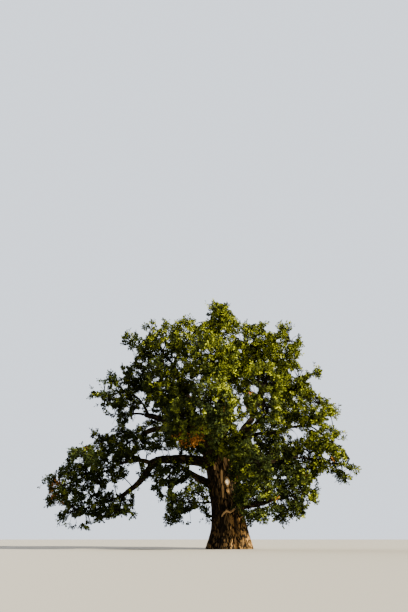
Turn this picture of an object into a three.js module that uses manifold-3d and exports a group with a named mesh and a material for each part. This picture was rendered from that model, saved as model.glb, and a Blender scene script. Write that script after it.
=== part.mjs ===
// An old field oak in full leaf: a stout, fluted trunk that forks at a third of the tree's height,
// crooked boughs, and a broad open crown whose lowest bough arches out to one side and droops.
// Units are millimetres. +Z is up, +X is to the right of the tree as it is seen from the front,
// -Y is the front. The origin is the middle of the flat cut under the trunk, at ground level.
import * as THREE from "three";
import { mergeVertices } from "three/addons/utils/BufferGeometryUtils.js";
import Module from "manifold-3d";

const wasm = await Module();
wasm.setup();

const GAP = 0.3; // clear joint between two pieces of wood

// Trunk
const TRUNK = {
  height: 5700,
  waistRadius: 1080, // at chest height, between the root flare and the boughs
  topRadius: 720,
  flareRadius: 190, // added at the ground, gone by three flare heights
  flareHeight: 560,
  taperPower: 1.3, // over 1 keeps the lower trunk stout
  lean: [-480, 60], // of the fork, from straight above the foot
  sides: 32,
  steps: 8,
};
// Root buttresses and the clefts between the stems that grew together: bearing in degrees seen from
// above (0 to the right, 90 to the back), how far each stands out or cuts in, its width in degrees
// and the height at which it has faded.
const BUTTRESSES = [
  { bearing: 200, out: 240, width: 24, fades: 900 },
  { bearing: 342, out: 260, width: 28, fades: 1500 },
  { bearing: 252, out: 170, width: 20, fades: 700 },
  { bearing: 302, out: 150, width: 16, fades: 700 },
  { bearing: 150, out: 260, width: 24, fades: 800 },
  { bearing: 100, out: 240, width: 26, fades: 900 },
  { bearing: 45, out: 280, width: 25, fades: 800 },
];
const CLEFTS = [
  { bearing: 288, out: -250, width: 10, fades: 4200 },
  { bearing: 238, out: -110, width: 10, fades: 3600 },
  { bearing: 75, out: -170, width: 12, fades: 4200 },
  { bearing: 175, out: -90, width: 12, fades: 3600 },
];
// The dead, crooked side shoot on the front of the trunk.
const SNAG = {
  foot: [330, -700, 2330],
  points: [[60, -1130, 2050], [-300, -1200, 2190]],
  radius: 62,
  taper: 0.25, // of that radius, lost along each of its two pieces
  overlap: 25,
};

// Limbs. Each leaves another limb, or the trunk, at a share of its length, and ends at its tip, with
// the radii given for its foot and its end. arch lifts its first part above the straight line, sag
// lowers its last part under that line, and bend pushes its middle sideways, to the left as seen
// from its foot.
const LIMBS = {
  leader_mid: { on: "trunk", at: 0.86, tip: [-450, 100, 12300], radii: [430, 125], bend: -350 },
  leader_left: { on: "trunk", at: 0.84, tip: [-3500, 0, 11500], radii: [360, 110], arch: -500, bend: 250 },
  leader_right: { on: "trunk", at: 0.8, tip: [2750, 200, 10900], radii: [390, 110], arch: -900, bend: 200 },
  left_high: { on: "trunk", at: 0.9, tip: [-5450, -250, 8100], radii: [320, 120], arch: 1300, sag: 250 },
  left_fork: { on: "left_high", at: 0.93, tip: [-6350, 150, 9650], radii: [90, 55], arch: 350 },
  left_mid: { on: "trunk", at: 0.82, tip: [-5400, 150, 7000], radii: [330, 125], arch: 1500, sag: -700 },
  arch: { on: "trunk", at: 0.79, tip: [-4950, 0, 5000], radii: [430, 230], arch: 850, sag: -300 },
  droop: { on: "arch", at: 0.96, tip: [-6800, 120, 3000], radii: [190, 80], arch: -350, sag: 200 },
  arch_out: { on: "arch", at: 0.97, tip: [-7250, -80, 4950], radii: [130, 70], arch: 330 },
  low_left: { on: "trunk", at: 0.58, tip: [-2950, -40, 4850], radii: [330, 130], arch: -150, bend: 80 },
  right_low: { on: "trunk", at: 0.4, tip: [3000, -150, 2870], radii: [300, 95], arch: 60, bend: -80 },
  right_mid: { on: "trunk", at: 0.7, tip: [3400, 150, 5350], radii: [300, 110], arch: 200, bend: 120 },
  right_reach: { on: "right_mid", at: 0.93, tip: [6450, 60, 5080], radii: [90, 45], arch: 420 },
  right_high: { on: "leader_right", at: 0.36, tip: [5150, 60, 7450], radii: [150, 75], arch: 350, bend: -120 },
  front_left: { on: "trunk", at: 0.88, tip: [-2150, -3000, 6500], radii: [280, 100], arch: 350, bend: 150 },
  front_mid: { on: "trunk", at: 0.92, tip: [-650, -3500, 7450], radii: [260, 95], arch: 250, bend: -200 },
  front_right: { on: "trunk", at: 0.72, tip: [1450, -3300, 4950], radii: [260, 95], arch: 250, bend: 150 },
  front_up: { on: "leader_right", at: 0.22, tip: [2250, -3000, 7650], radii: [170, 85], arch: 250, bend: -150 },
  back_left: { on: "trunk", at: 0.86, tip: [-2850, 3000, 7950], radii: [300, 105], arch: 250, bend: -200 },
  back_mid: { on: "trunk", at: 0.8, tip: [-600, 4500, 6950], radii: [290, 100], arch: 450, bend: 200 },
  back_right: { on: "trunk", at: 0.76, tip: [2600, 3400, 7050], radii: [300, 105], arch: 250, bend: 200 },
};

const LIMB = {
  bends: [0.33, 0.7], // where the two bends of a limb sit along its run
  lateArch: 0.6, // share of arch that the second bend keeps
  lateBend: 0.4,
  taperPower: 0.75,
  collar: 0.35, // swelling at the foot, as a share of the radius
  collarLength: 0.1, // share of the limb's length
  stout: 200, // one thicker than this at its foot has more sides
};

// Masses of leaves. Each grows from its limb at a share of that limb's length, and keeps to the
// ellipsoid round middle with the half-widths reach, to the right, to the back and up.
const MASSES = {
  top: { on: "leader_mid", at: 1, middle: [-500, 0, 14750], reach: [1650, 2000, 1700] },
  top_left: { on: "leader_left", at: 1, middle: [-2450, -1500, 12900], reach: [1800, 2300, 1650] },
  shoulder_left: { on: "leader_left", at: 0.9, middle: [-4700, 1400, 13350], reach: [1750, 2200, 2300] },
  tuft_left: { on: "leader_left", at: 0.8, middle: [-6000, 0, 12800], reach: [1300, 1600, 1200] },
  top_right: { on: "leader_right", at: 1, middle: [2100, 1400, 13600], reach: [1850, 2400, 1950] },
  shoulder_right: { on: "leader_right", at: 0.93, middle: [3750, -1200, 12400], reach: [1400, 2300, 1950] },
  left_upper: { on: "left_fork", at: 0.9, middle: [-5850, 1200, 11100], reach: [2050, 2500, 1700] },
  left_spur: { on: "left_fork", at: 1, middle: [-7600, 0, 9500], reach: [1550, 2000, 1550] },
  left_mid: { on: "left_high", at: 1, middle: [-6700, -800, 8050], reach: [1650, 2000, 1100] },
  centre_left: { on: "leader_left", at: 0.62, middle: [-3650, -2200, 9800], reach: [2000, 2400, 2050] },
  right_upper: { on: "leader_right", at: 0.86, middle: [4350, 1000, 10550], reach: [1800, 2600, 1600] },
  right_mid: { on: "right_high", at: 0.93, middle: [5500, -1000, 8250], reach: [1750, 2500, 1500] },
  right_outer: { on: "right_high", at: 1, middle: [6550, 600, 6650], reach: [1450, 2200, 1600] },
  right_tip: { on: "right_reach", at: 1, middle: [7250, 0, 5050], reach: [1300, 1600, 1200] },
  right_out_low: { on: "right_mid", at: 1, middle: [4950, 1200, 5300], reach: [1850, 2600, 1650] },
  right_low: { on: "right_low", at: 1, middle: [4000, -400, 3150], reach: [1950, 2400, 1700] },
  right_bottom: { on: "right_low", at: 0.6, middle: [1550, -2200, 2700], reach: [1650, 2000, 1550] },
  over_arch: { on: "left_mid", at: 0.62, middle: [-3400, -900, 6750], reach: [1850, 1800, 1000] },
  arch_crest: { on: "left_mid", at: 1, middle: [-6500, 1000, 6450], reach: [2050, 2300, 1400] },
  left_crest: { on: "arch_out", at: 0.94, middle: [-8600, -500, 5750], reach: [1950, 2400, 1500] },
  left_inner: { on: "arch_out", at: 0.8, middle: [-8200, 600, 4250], reach: [1350, 1900, 1050] },
  left_tip: { on: "arch_out", at: 1, middle: [-10200, 200, 3850], reach: [1650, 1900, 1400] },
  left_low: { on: "droop", at: 1, middle: [-8950, -300, 2400], reach: [2050, 2000, 1450] },
  left_droop: { on: "droop", at: 0.9, middle: [-6750, 500, 2500], reach: [1800, 2000, 1150] },
  under_arch: { on: "low_left", at: 1, middle: [-3700, 0, 4300], reach: [1850, 1900, 1250] },
  under_low: { on: "trunk", at: 0.41, middle: [-2650, -500, 2700], reach: [1750, 1900, 1550] },
  front_high: { on: "leader_mid", at: 0.62, middle: [-1000, -3600, 10800], reach: [1900, 2300, 1850] },
  front_left: { on: "front_left", at: 1, middle: [-2550, -4200, 6950], reach: [1650, 2300, 1650] },
  front_mid: { on: "front_mid", at: 1, middle: [-1050, -5200, 7550], reach: [1600, 2300, 2200] },
  front_right: { on: "front_right", at: 1, middle: [1500, -4800, 4600], reach: [1700, 2300, 1550] },
  front_right_high: { on: "front_up", at: 1, middle: [1850, -4000, 8650], reach: [1600, 2500, 2350] },
  back_high: { on: "leader_mid", at: 0.7, middle: [1050, 3800, 12600], reach: [2600, 2300, 2450] },
  back_left: { on: "back_left", at: 1, middle: [-3800, 4400, 9850], reach: [2400, 2400, 2250] },
  back_low: { on: "back_mid", at: 1, middle: [-700, 6000, 8550], reach: [2450, 2100, 2150] },
  back_right: { on: "back_right", at: 1, middle: [4000, 4400, 10150], reach: [2400, 2500, 2750] },
  back_low_right: { on: "back_right", at: 0.9, middle: [3150, 4600, 6050], reach: [2100, 2200, 1950] },
};

// The masses that the sky shows through. The others are dense, and have a core.
const OPEN = new Set([
  "shoulder_left", "tuft_left", "left_spur", "left_mid", "left_inner", "left_tip", "left_low",
  "left_droop", "over_arch", "under_arch", "under_low", "right_tip",
]);

// The growth rule
const GOLDEN_ANGLE = 2.39996; // radians
const STEM = {
  share: 0.8, // of the radius of the limb that carries it
  thickest: 150,
  onTrunk: 90, // radius at the foot of one that leaves the trunk
  end: 80,
  past: 0.3, // share of the mass's half-width by which it passes the middle
  leave: 0.25, // share of its run over which it follows its limb
};
const TWIG = {
  foot: 74,
  end: 54,
  room: 2.4e7, // square millimetres of a mass's surface that each twig serves
  fewest: 3,
  feet: [0.5, 0.97], // shares of the stem between which they leave it
  stray: 0.5, // from even directions
  inset: 0.55, // of a leaf's length, kept between its end and the edge of the space
  shortest: 0.35, // share of the half-width
};
const LEAF = {
  share: 0.9, // of the mass's mean half-width
  shortest: 480,
  longest: 1700,
  width: 0.84, // share of its length
  thickness: 0.05,
  sides: 3, // round the end of each twig, with one more at its tip
  sideSpread: 1.3, // radians between a side leaf and its twig
  tipSpread: 0.25,
  tipSize: 0.8,
  root: 26, // from a leaf's root, inside its twig, to the twig's end
  apart: 0.6, // of its length, between the middles of two leaves
};
// Tries for a leaf until one fits: its share of full size, and a further lean and twist in radians.
const LEAF_TRIES = [
  [1, 0, 0],
  [1, 0.25, 0.2],
  [0.85, 0, -0.2],
  [0.85, 0.3, 0],
  [0.7, 0, 0.2],
  [0.7, 0.35, -0.2],
  [0.55, 0, 0],
  [0.55, 0.4, 0],
];
const CORE = { share: 0.6, lumps: 0.12, smallest: 120 }; // share of a mass's half-width, give or take
const NEIGHBOUR_ROOM = 45; // kept free on each side of the plane between two masses
const LIMB_ROOM = 110; // kept free round another limb
const LOWEST_LEAF = 1050;
const SMALLEST_STEP = 12; // detail finer than this isn't kept where leaves and twigs are fused

// The same seeded numbers on every run, each from 0 to 1.
function seeded(seed) {
  let state = seed >>> 0;
  return () => {
    state = (state + 0x6d2b79f5) >>> 0;
    let t = state;
    t = Math.imul(t ^ (t >>> 15), t | 1);
    t ^= t + Math.imul(t ^ (t >>> 7), t | 61);
    return ((t ^ (t >>> 14)) >>> 0) / 4294967296;
  };
}

const vector = (place) => new THREE.Vector3(...place);
const UP = new THREE.Vector3(0, 0, 1);

// A closed three.js geometry as a solid.
function solidOf(geometry) {
  const bare = geometry.clone();
  bare.deleteAttribute("normal");
  bare.deleteAttribute("uv");
  const merged = mergeVertices(bare, 1e-3);
  const vertProperties = new Float32Array(merged.getAttribute("position").array);
  const triVerts = new Uint32Array(merged.index.array);
  return new wasm.Manifold(new wasm.Mesh({ numProp: 3, vertProperties, triVerts }));
}

// A solid as a named mesh. Fusing can leave a scrap or seal a hollow, so only the largest body stays.
function meshOf(name, solid, material) {
  const bodies = solid.simplify(0.5).decompose();
  const whole = bodies.reduce((a, b) => (b.volume() > a.volume() ? b : a));
  const { vertProperties, triVerts } = whole.getMesh();
  const geometry = new THREE.BufferGeometry();
  geometry.setAttribute("position", new THREE.BufferAttribute(vertProperties, 3));
  geometry.setIndex(new THREE.BufferAttribute(triVerts, 1));
  geometry.computeVertexNormals();
  const mesh = new THREE.Mesh(geometry, material);
  mesh.name = name;
  return mesh;
}

// Moves a unit cylinder's points onto a route. radiusAt gives the radius at a share of the route's
// length and an angle round it, so that the limb can taper and have flutes.
function alongRoute(route, sides, steps, radiusAt, overrun = 0) {
  const shape = new THREE.CylinderGeometry(1, 1, 1, sides, steps);
  const position = shape.getAttribute("position");
  const frames = ringFrames(route, steps);
  const point = new THREE.Vector3();
  for (let i = 0; i < position.count; i++) {
    point.fromBufferAttribute(position, i);
    const ring = Math.round((point.y + 0.5) * steps);
    const { centre, along, across, over } = frames[ring];
    const share = ring / steps;
    const angle = Math.atan2(point.x, point.z);
    const radius = Math.hypot(point.x, point.z) * radiusAt(share, angle);
    const past = share === 0 ? -overrun : share === 1 ? overrun : 0;
    point
      .copy(centre)
      .addScaledVector(across, radius * Math.cos(angle))
      .addScaledVector(over, radius * Math.sin(angle))
      .addScaledVector(along, past);
    position.setXYZ(i, point.x, point.y, point.z);
  }
  return solidOf(shape);
}

// The ring places of a route: each ring's axes are the last ring's, turned no more than the route is.
function ringFrames(route, steps) {
  const frames = [];
  let across = new THREE.Vector3(1, 0, 0);
  for (let i = 0; i <= steps; i++) {
    const along = route.tangentAt(i / steps);
    across = across.clone().addScaledVector(along, -across.dot(along)).normalize();
    frames.push({ centre: route.pointAt(i / steps), along, across, over: along.clone().cross(across) });
  }
  return frames;
}

// A cubic route with its point and its direction at a share of its parameter.
function cubicRoute(a, b, c, d) {
  const curve = new THREE.CubicBezierCurve3(a, b, c, d);
  return { pointAt: (t) => curve.getPoint(t), tangentAt: (t) => curve.getTangent(t) };
}

const degreesApart = (a, b) => Math.abs(((((a - b) % 360) + 540) % 360) - 180);
const bell = (x) => Math.exp(-x * x);

// The trunk's centre line, upright at the foot and leaning into the fork.
function trunkRoute() {
  const [right, back] = TRUNK.lean;
  return cubicRoute(
    new THREE.Vector3(0, 0, 0),
    new THREE.Vector3(0, 0, TRUNK.height * 0.35),
    new THREE.Vector3(right * 0.7, back * 0.7, TRUNK.height * 0.65),
    new THREE.Vector3(right, back, TRUNK.height),
  );
}

// The trunk's radius at a height and a bearing: taper, root flare, buttresses and clefts.
function trunkRadius(share, bearing) {
  const height = share * TRUNK.height;
  const taper = THREE.MathUtils.lerp(TRUNK.waistRadius, TRUNK.topRadius, share ** TRUNK.taperPower);
  const flare = TRUNK.flareRadius * Math.exp(-height / TRUNK.flareHeight);
  let ridges = 0;
  for (const { bearing: middle, out, width, fades } of [...BUTTRESSES, ...CLEFTS]) {
    ridges += out * bell(degreesApart(bearing, middle) / width) * Math.exp(-((height / fades) ** 2));
  }
  return taper + flare + ridges;
}

function trunkSolid(grow = 0) {
  const radiusAt = (share, angle) => trunkRadius(share, THREE.MathUtils.radToDeg(angle)) + grow;
  return alongRoute(routes.trunk, TRUNK.sides, TRUNK.steps, radiusAt, grow);
}

// A limb's centre line, from inside the limb or trunk that carries it to its tip.
function limbRoute({ on, at, tip, arch = 0, sag = 0, bend = 0 }) {
  const foot = routes[on].pointAt(at);
  const end = vector(tip);
  const run = end.clone().sub(foot);
  const left = UP.clone().cross(run).normalize();
  const early = foot.clone().addScaledVector(run, LIMB.bends[0]);
  early.addScaledVector(UP, arch).addScaledVector(left, bend);
  const late = foot.clone().addScaledVector(run, LIMB.bends[1]);
  late.addScaledVector(UP, arch * LIMB.lateArch - sag).addScaledVector(left, bend * LIMB.lateBend);
  return cubicRoute(foot, early, late, end);
}

// A limb tapers from a swollen foot to its tip.
function limbRadius({ radii: [foot, end] }, share) {
  const collar = 1 + LIMB.collar * bell(share / LIMB.collarLength);
  return THREE.MathUtils.lerp(foot, end, share ** LIMB.taperPower) * collar;
}

function limbSolid(name, grow = 0) {
  const limb = LIMBS[name];
  const [sides, steps] = limb.radii[0] > LIMB.stout ? [7, 6] : [5, 4];
  return alongRoute(routes[name], sides, steps, (share) => limbRadius(limb, share) + grow, grow);
}

// The half-width of a mass along a direction.
function reachAlong(mass, way) {
  const [a, b, c] = mass.reach;
  return 1 / Math.hypot(way.x / a, way.y / b, way.z / c);
}

// The planes that part a mass from its neighbours, each between two middles in the shares of the
// two half-widths.
function planesOf(name) {
  const mass = MASSES[name];
  const planes = [];
  for (const [other, near] of Object.entries(MASSES)) {
    if (other === name) continue;
    const way = vector(near.middle).sub(vector(mass.middle));
    const apart = way.length();
    if (apart > Math.max(...mass.reach) + Math.max(...near.reach)) continue;
    way.normalize();
    const mine = reachAlong(mass, way);
    planes.push({ way, limit: (apart * mine) / (mine + reachAlong(near, way)) });
  }
  return planes;
}

// Points along the trunk and every limb and stem with the radius there, to keep leaves off them.
function woodPoints() {
  const points = [];
  const STEPS = 24;
  const follow = (owner, route, radiusAt) => {
    for (let i = 0; i <= STEPS; i++) {
      points.push({ owner, place: route.pointAt(i / STEPS), radius: radiusAt(i / STEPS) });
    }
  };
  follow("trunk", routes.trunk, (share) => TRUNK.waistRadius + TRUNK.flareRadius * (1 - share));
  for (const [name, limb] of Object.entries(LIMBS)) {
    follow(name, routes[name], (share) => limbRadius(limb, share));
  }
  for (const [name, stem] of Object.entries(stems)) follow(name, stem.route, stem.radiusAt);
  return points;
}

// Whether a point lies in a mass's own space, clear of its neighbours and of the wood.
function keepsTo(name, place) {
  const mass = MASSES[name];
  const from = place.clone().sub(vector(mass.middle));
  const share = Math.hypot(from.x / mass.reach[0], from.y / mass.reach[1], from.z / mass.reach[2]);
  if (share > 1 || place.z < LOWEST_LEAF) return false;
  if (spaces[name].planes.some(({ way, limit }) => from.dot(way) > limit - NEIGHBOUR_ROOM)) return false;
  return !spaces[name].wood.some((p) => p.place.distanceTo(place) < p.radius + LIMB_ROOM);
}

// A mass's stem runs from inside its limb through the middle of the mass.
function stemOf(name) {
  const mass = MASSES[name];
  const middle = vector(mass.middle);
  const foot = routes[mass.on].pointAt(mass.at);
  const carrier = mass.on === "trunk" ? STEM.onTrunk / STEM.share : limbRadius(LIMBS[mass.on], mass.at);
  const run = middle.clone().sub(foot);
  const ahead = run.clone().normalize();
  const end = middle.clone().addScaledVector(ahead, reachAlong(mass, ahead) * STEM.past);
  const leave = foot.clone().addScaledVector(routes[mass.on].tangentAt(mass.at), run.length() * STEM.leave);
  const route = cubicRoute(foot, leave, foot.clone().lerp(middle, 0.7), end);
  const thick = Math.min(carrier * STEM.share, STEM.thickest);
  return { route, radiusAt: (share) => THREE.MathUtils.lerp(thick, STEM.end, share) };
}

// Even directions over a sphere.
function evenWay(i, count) {
  const z = 1 - (2 * (i + 0.5)) / count;
  const round = Math.sqrt(1 - z * z);
  return new THREE.Vector3(round * Math.cos(i * GOLDEN_ANGLE), round * Math.sin(i * GOLDEN_ANGLE), z);
}

// How many twigs a mass has, and how long its leaves are, by its size.
function growthPlan(mass) {
  const [a, b, c] = mass.reach;
  const POWER = 1.6; // of Thomsen's formula for the surface of an ellipsoid
  const pairs = (a * b) ** POWER + (b * c) ** POWER + (a * c) ** POWER;
  const surface = 4 * Math.PI * (pairs / 3) ** (1 / POWER);
  const twigs = Math.max(TWIG.fewest, Math.round(surface / TWIG.room));
  const length = THREE.MathUtils.clamp(LEAF.share * Math.cbrt(a * b * c), LEAF.shortest, LEAF.longest);
  return { twigs, length };
}

// The twigs and leaves of a mass by the growth rule. A twig or leaf that would leave the mass's
// space or touch a limb is skipped.
function growthOf(name) {
  const mass = MASSES[name];
  const random = seeded(101 * (1 + Object.keys(MASSES).indexOf(name)));
  const middle = vector(mass.middle);
  const { route } = stems[name];
  const stemWay = route.tangentAt(1);
  const plan = growthPlan(mass);
  const ways = [];
  for (let i = 0; i < plan.twigs; i++) {
    const stray = new THREE.Vector3(random() - 0.5, random() - 0.5, random() - 0.5);
    ways.push(evenWay(i, plan.twigs).addScaledVector(stray, TWIG.stray).normalize());
  }
  ways.sort((a, b) => a.dot(stemWay) - b.dot(stemWay));
  const twigs = [];
  const leaves = [];
  for (const [i, way] of ways.entries()) {
    const reach = reachAlong(mass, way);
    const foot = route.pointAt(THREE.MathUtils.lerp(...TWIG.feet, i / (plan.twigs - 1)));
    const share = Math.max(TWIG.shortest, 1 - (TWIG.inset * plan.length) / reach);
    const end = fitted(name, foot, middle, way, reach * share);
    if (!end) continue;
    twigs.push({ foot, end });
    addLeaves(name, foot, end, plan.length, random, leaves);
  }
  return { twigs, leaves };
}

// The furthest end of a twig along a way, up to its full reach, that keeps to the space. The twig's
// outer half has to keep to it too.
function fitted(name, foot, middle, way, reach) {
  for (const share of [1, 0.85, 0.7, 0.55]) {
    const end = middle.clone().addScaledVector(way, reach * share);
    const outer = [0.4, 0.5, 0.6, 0.7, 0.8, 0.9, 1].map((part) => foot.clone().lerp(end, part));
    if (outer.every((p) => keepsTo(name, p))) return end;
  }
  return null;
}

// A leaf at the twig's tip and others round its end, each tried at a few angles and sizes. Side
// leaves face outwards, as the sprays on the outside of a crown do.
function addLeaves(name, foot, end, length, random, leaves) {
  const { along, side } = twigAxes(foot, end);
  for (let k = 0; k <= LEAF.sides; k++) {
    const root = end.clone().addScaledVector(along, -LEAF.root * (1 + 2.2 * k));
    const spread = k === 0 ? LEAF.tipSpread * random() : LEAF.sideSpread + 0.3 * random();
    const size = length * (k === 0 ? LEAF.tipSize : 0.95 + 0.2 * random());
    const roll = ((k + 0.5) * Math.PI * 2) / LEAF.sides;
    for (const [shrink, lean, twist] of LEAF_TRIES) {
      const out = side.clone().applyAxisAngle(along, roll + twist);
      const angle = spread + lean;
      const way = along.clone().multiplyScalar(Math.cos(angle)).addScaledVector(out, Math.sin(angle));
      const leaf = leafAt(root, way, along, size * shrink);
      if (leaf.points.every((p) => keepsTo(name, p)) && clearOf(leaf, leaves)) {
        leaves.push(leaf);
        break;
      }
    }
  }
}

// Whether a leaf leaves room to those already there.
function clearOf(leaf, leaves) {
  return leaves.every((other) => other.middle.distanceTo(leaf.middle) > leaf.length * LEAF.apart);
}

// A leaf's place: its middle, its way, its blade's other two axes, and points over the blade.
function leafAt(root, way, outward, length) {
  const broad = way.clone().cross(outward).normalize();
  const face = broad.clone().cross(way).normalize();
  const half = (length * LEAF.width) / 2;
  const points = [];
  for (const along of [0.2, 0.35, 0.5, 0.65, 0.8, 1]) {
    const width = half * (1 - Math.abs(2 * along - 1));
    for (const across of [-1, -0.5, 0, 0.5, 1]) {
      points.push(root.clone().addScaledVector(way, length * along).addScaledVector(broad, width * across));
    }
  }
  const middle = root.clone().addScaledVector(way, length / 2);
  return { middle, way, broad, face, length, points };
}

// A leaf is a thin eight-sided blade, its root sunk in the twig.
function leafSolid({ middle, way, broad, face, length }) {
  const blade = new THREE.OctahedronGeometry(length / 2).scale(1, LEAF.width, LEAF.thickness);
  const turn = new THREE.Matrix4().makeBasis(way, broad, face.clone().negate());
  return solidOf(blade.applyMatrix4(turn).translate(middle.x, middle.y, middle.z));
}

// The way a twig points and the way of one of its three edges.
function twigAxes(foot, end) {
  const along = end.clone().sub(foot).normalize();
  return { along, side: new THREE.Vector3(along.y, -along.x, 0).normalize() };
}

// A straight, tapering, three-sided twig.
function twigSolid({ foot, end }) {
  const { along, side } = twigAxes(foot, end);
  const length = end.distanceTo(foot);
  const rod = new THREE.CylinderGeometry(TWIG.end, TWIG.foot, length, 3, 1).translate(0, length / 2, 0);
  const turn = new THREE.Matrix4().makeBasis(side.clone().cross(along).negate(), along, side);
  return solidOf(rod.applyMatrix4(turn).translate(foot.x, foot.y, foot.z));
}

// The inner foliage of a dense mass: a lumpy ball, drawn in where a neighbour or a limb is near.
function coreSolid(name) {
  const mass = MASSES[name];
  const random = seeded(907 * (1 + Object.keys(MASSES).indexOf(name)));
  const ball = new THREE.OctahedronGeometry(1, 1);
  ball.deleteAttribute("normal");
  ball.deleteAttribute("uv");
  const shape = mergeVertices(ball, 1e-4);
  const position = shape.getAttribute("position");
  const middle = vector(mass.middle);
  for (let i = 0; i < position.count; i++) {
    const way = new THREE.Vector3().fromBufferAttribute(position, i).normalize();
    let reach = reachAlong(mass, way) * CORE.share * (1 + CORE.lumps * (2 * random() - 1));
    while (reach > CORE.smallest && !keepsTo(name, middle.clone().addScaledVector(way, reach))) reach *= 0.85;
    position.setXYZ(i, ...middle.clone().addScaledVector(way, reach).toArray());
  }
  return solidOf(shape);
}

function stemSolid(name, grow = 0) {
  const { route, radiusAt } = stems[name];
  return alongRoute(route, 4, 2, (share) => radiusAt(share) + grow, grow);
}

// Centre lines first, because every mass keeps clear of them.
const routes = { trunk: trunkRoute() };
for (const [name, limb] of Object.entries(LIMBS)) routes[name] = limbRoute(limb);
const stems = {};
for (const name of Object.keys(MASSES)) stems[name] = stemOf(name);
const wood = woodPoints();
const spaces = {};
for (const [name, mass] of Object.entries(MASSES)) {
  const middle = vector(mass.middle);
  const furthest = Math.max(...mass.reach) + 4 * LIMB_ROOM;
  const near = (p) => p.owner !== name && p.place.distanceTo(middle) < furthest + p.radius;
  spaces[name] = { planes: planesOf(name), wood: wood.filter(near) };
}

const bark = new THREE.MeshStandardMaterial({ color: 0x4a3c2c, roughness: 0.95, metalness: 0 });
const foliage = new THREE.MeshStandardMaterial({ color: 0x3f4d16, roughness: 0.65, metalness: 0 });
const oak = new THREE.Group();

// The dead side shoot is one piece with the trunk.
function snagSolids() {
  const places = [vector(SNAG.foot), ...SNAG.points.map(vector)];
  return places.slice(1).map((end, i) => {
    const [early, late] = [0.3, 0.7].map((share) => places[i].clone().lerp(end, share));
    const route = cubicRoute(places[i], early, late, end);
    return alongRoute(route, 6, 1, (share) => SNAG.radius * (1 - SNAG.taper * (i + share)), SNAG.overlap);
  });
}

oak.add(meshOf("trunk", wasm.Manifold.union([trunkSolid(), ...snagSolids()]), bark));

// Each limb gives way to the trunk and to the limbs before it, by the clear joint.
const cutters = { trunk: trunkSolid(GAP) };
for (const name of Object.keys(LIMBS)) {
  const shape = limbSolid(name).subtract(wasm.Manifold.union(Object.values(cutters)));
  oak.add(meshOf(`bough_${name}`, shape, bark));
  cutters[name] = limbSolid(name, GAP);
}

// Each mass gives way to the limbs and to the other masses' stems.
const stemCutters = Object.keys(MASSES).map((name) => [name, stemSolid(name, GAP)]);
for (const name of Object.keys(MASSES)) {
  const { twigs, leaves } = growthOf(name);
  const pieces = [stemSolid(name), ...twigs.map(twigSolid), ...leaves.map(leafSolid)];
  if (!OPEN.has(name)) pieces.push(coreSolid(name));
  const others = stemCutters.filter(([owner]) => owner !== name).map(([, solid]) => solid);
  const clear = wasm.Manifold.union([...Object.values(cutters), ...others]);
  const whole = wasm.Manifold.union(pieces).simplify(SMALLEST_STEP);
  oak.add(meshOf(`foliage_${name}`, whole.subtract(clear), foliage));
}

export default oak;
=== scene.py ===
# An old field oak in full leaf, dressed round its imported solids: fissured bark on the trunk and the boughs,
# and masses of foliage grown on from the limbs by the solids' own rule, carried on to fine twigs and single
# leaves. Units are metres. +Z is up, +X is to the right of the tree as it is seen from the front, and -Y is
# the front. A place "as it is seen" is where the eye sees it on the upright plane through the trunk, across
# and up.

import math
from functools import lru_cache
from typing import NamedTuple

import bmesh
import bpy
import numpy as np
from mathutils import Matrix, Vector


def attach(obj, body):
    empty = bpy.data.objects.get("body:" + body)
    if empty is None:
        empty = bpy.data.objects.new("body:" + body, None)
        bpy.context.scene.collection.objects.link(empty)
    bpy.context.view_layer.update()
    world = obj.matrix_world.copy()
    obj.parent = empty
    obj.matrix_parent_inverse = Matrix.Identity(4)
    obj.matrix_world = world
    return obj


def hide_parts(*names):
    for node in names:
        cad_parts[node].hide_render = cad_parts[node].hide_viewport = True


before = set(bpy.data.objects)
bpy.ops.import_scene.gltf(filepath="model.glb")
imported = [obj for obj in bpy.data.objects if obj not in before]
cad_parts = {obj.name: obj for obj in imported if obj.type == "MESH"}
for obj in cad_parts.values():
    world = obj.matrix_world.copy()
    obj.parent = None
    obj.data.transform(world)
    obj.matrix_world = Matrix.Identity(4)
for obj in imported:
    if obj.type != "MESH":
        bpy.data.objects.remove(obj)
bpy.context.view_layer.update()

bl_info = {
    "name": "Field oak",
    "version": (1, 0, 0),
    "blender": (4, 5, 0),
    "location": "View3D > Sidebar > Oak",
    "description": "An old field oak: trunk, boughs, twigs, leaves and a plain stage",
    "category": "Object",
}

# The wood, with the same names and sizes as the solids.
TRUNK = {
    "height": 5.7,
    "waist_radius": 1.08,
    "top_radius": 0.72,
    "flare_radius": 0.19,
    "flare_height": 0.56,
    "taper_power": 1.3,
    "lean": (-0.48, 0.06),
}
# Root buttresses and clefts: bearing in degrees from above, how far each stands out or cuts in, its
# width in degrees and the height at which it has faded.
RIDGES = [
    (200, 0.24, 24, 0.9),
    (342, 0.26, 28, 1.5),
    (252, 0.17, 20, 0.7),
    (302, 0.15, 16, 0.7),
    (150, 0.26, 24, 0.8),
    (100, 0.24, 26, 0.9),
    (45, 0.28, 25, 0.8),
    (288, -0.25, 10, 4.2),
    (238, -0.11, 10, 3.6),
    (75, -0.17, 12, 4.2),
    (175, -0.09, 12, 3.6),
]
# Finer folds of the trunk that the solids leave out, in the same terms.
FOLDS = [
    (262, -0.13, 6, 3.8),
    (222, -0.1, 6, 3.2),
    (312, -0.12, 6, 3.4),
    (275, 0.08, 5, 3.4),
    (296, 0.09, 4, 2.6),
    (330, -0.09, 6, 2.8),
    (205, 0.07, 7, 2.8),
    (250, 0.05, 4, 3.8),
    (125, -0.12, 7, 3.4),
    (20, -0.12, 8, 3.2),
    (50, 0.07, 8, 2.8),
]
# The dead, crooked side shoot on the front of the trunk: the places it runs through and its radii.
SNAG = [(0.62, -0.7, 2.5), (0.03, -1.17, 2.07), (-0.18, -1.22, 2.17), (-0.48, -1.22, 1.83)]
SNAG_RADII = (0.085, 0.045)


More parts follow.
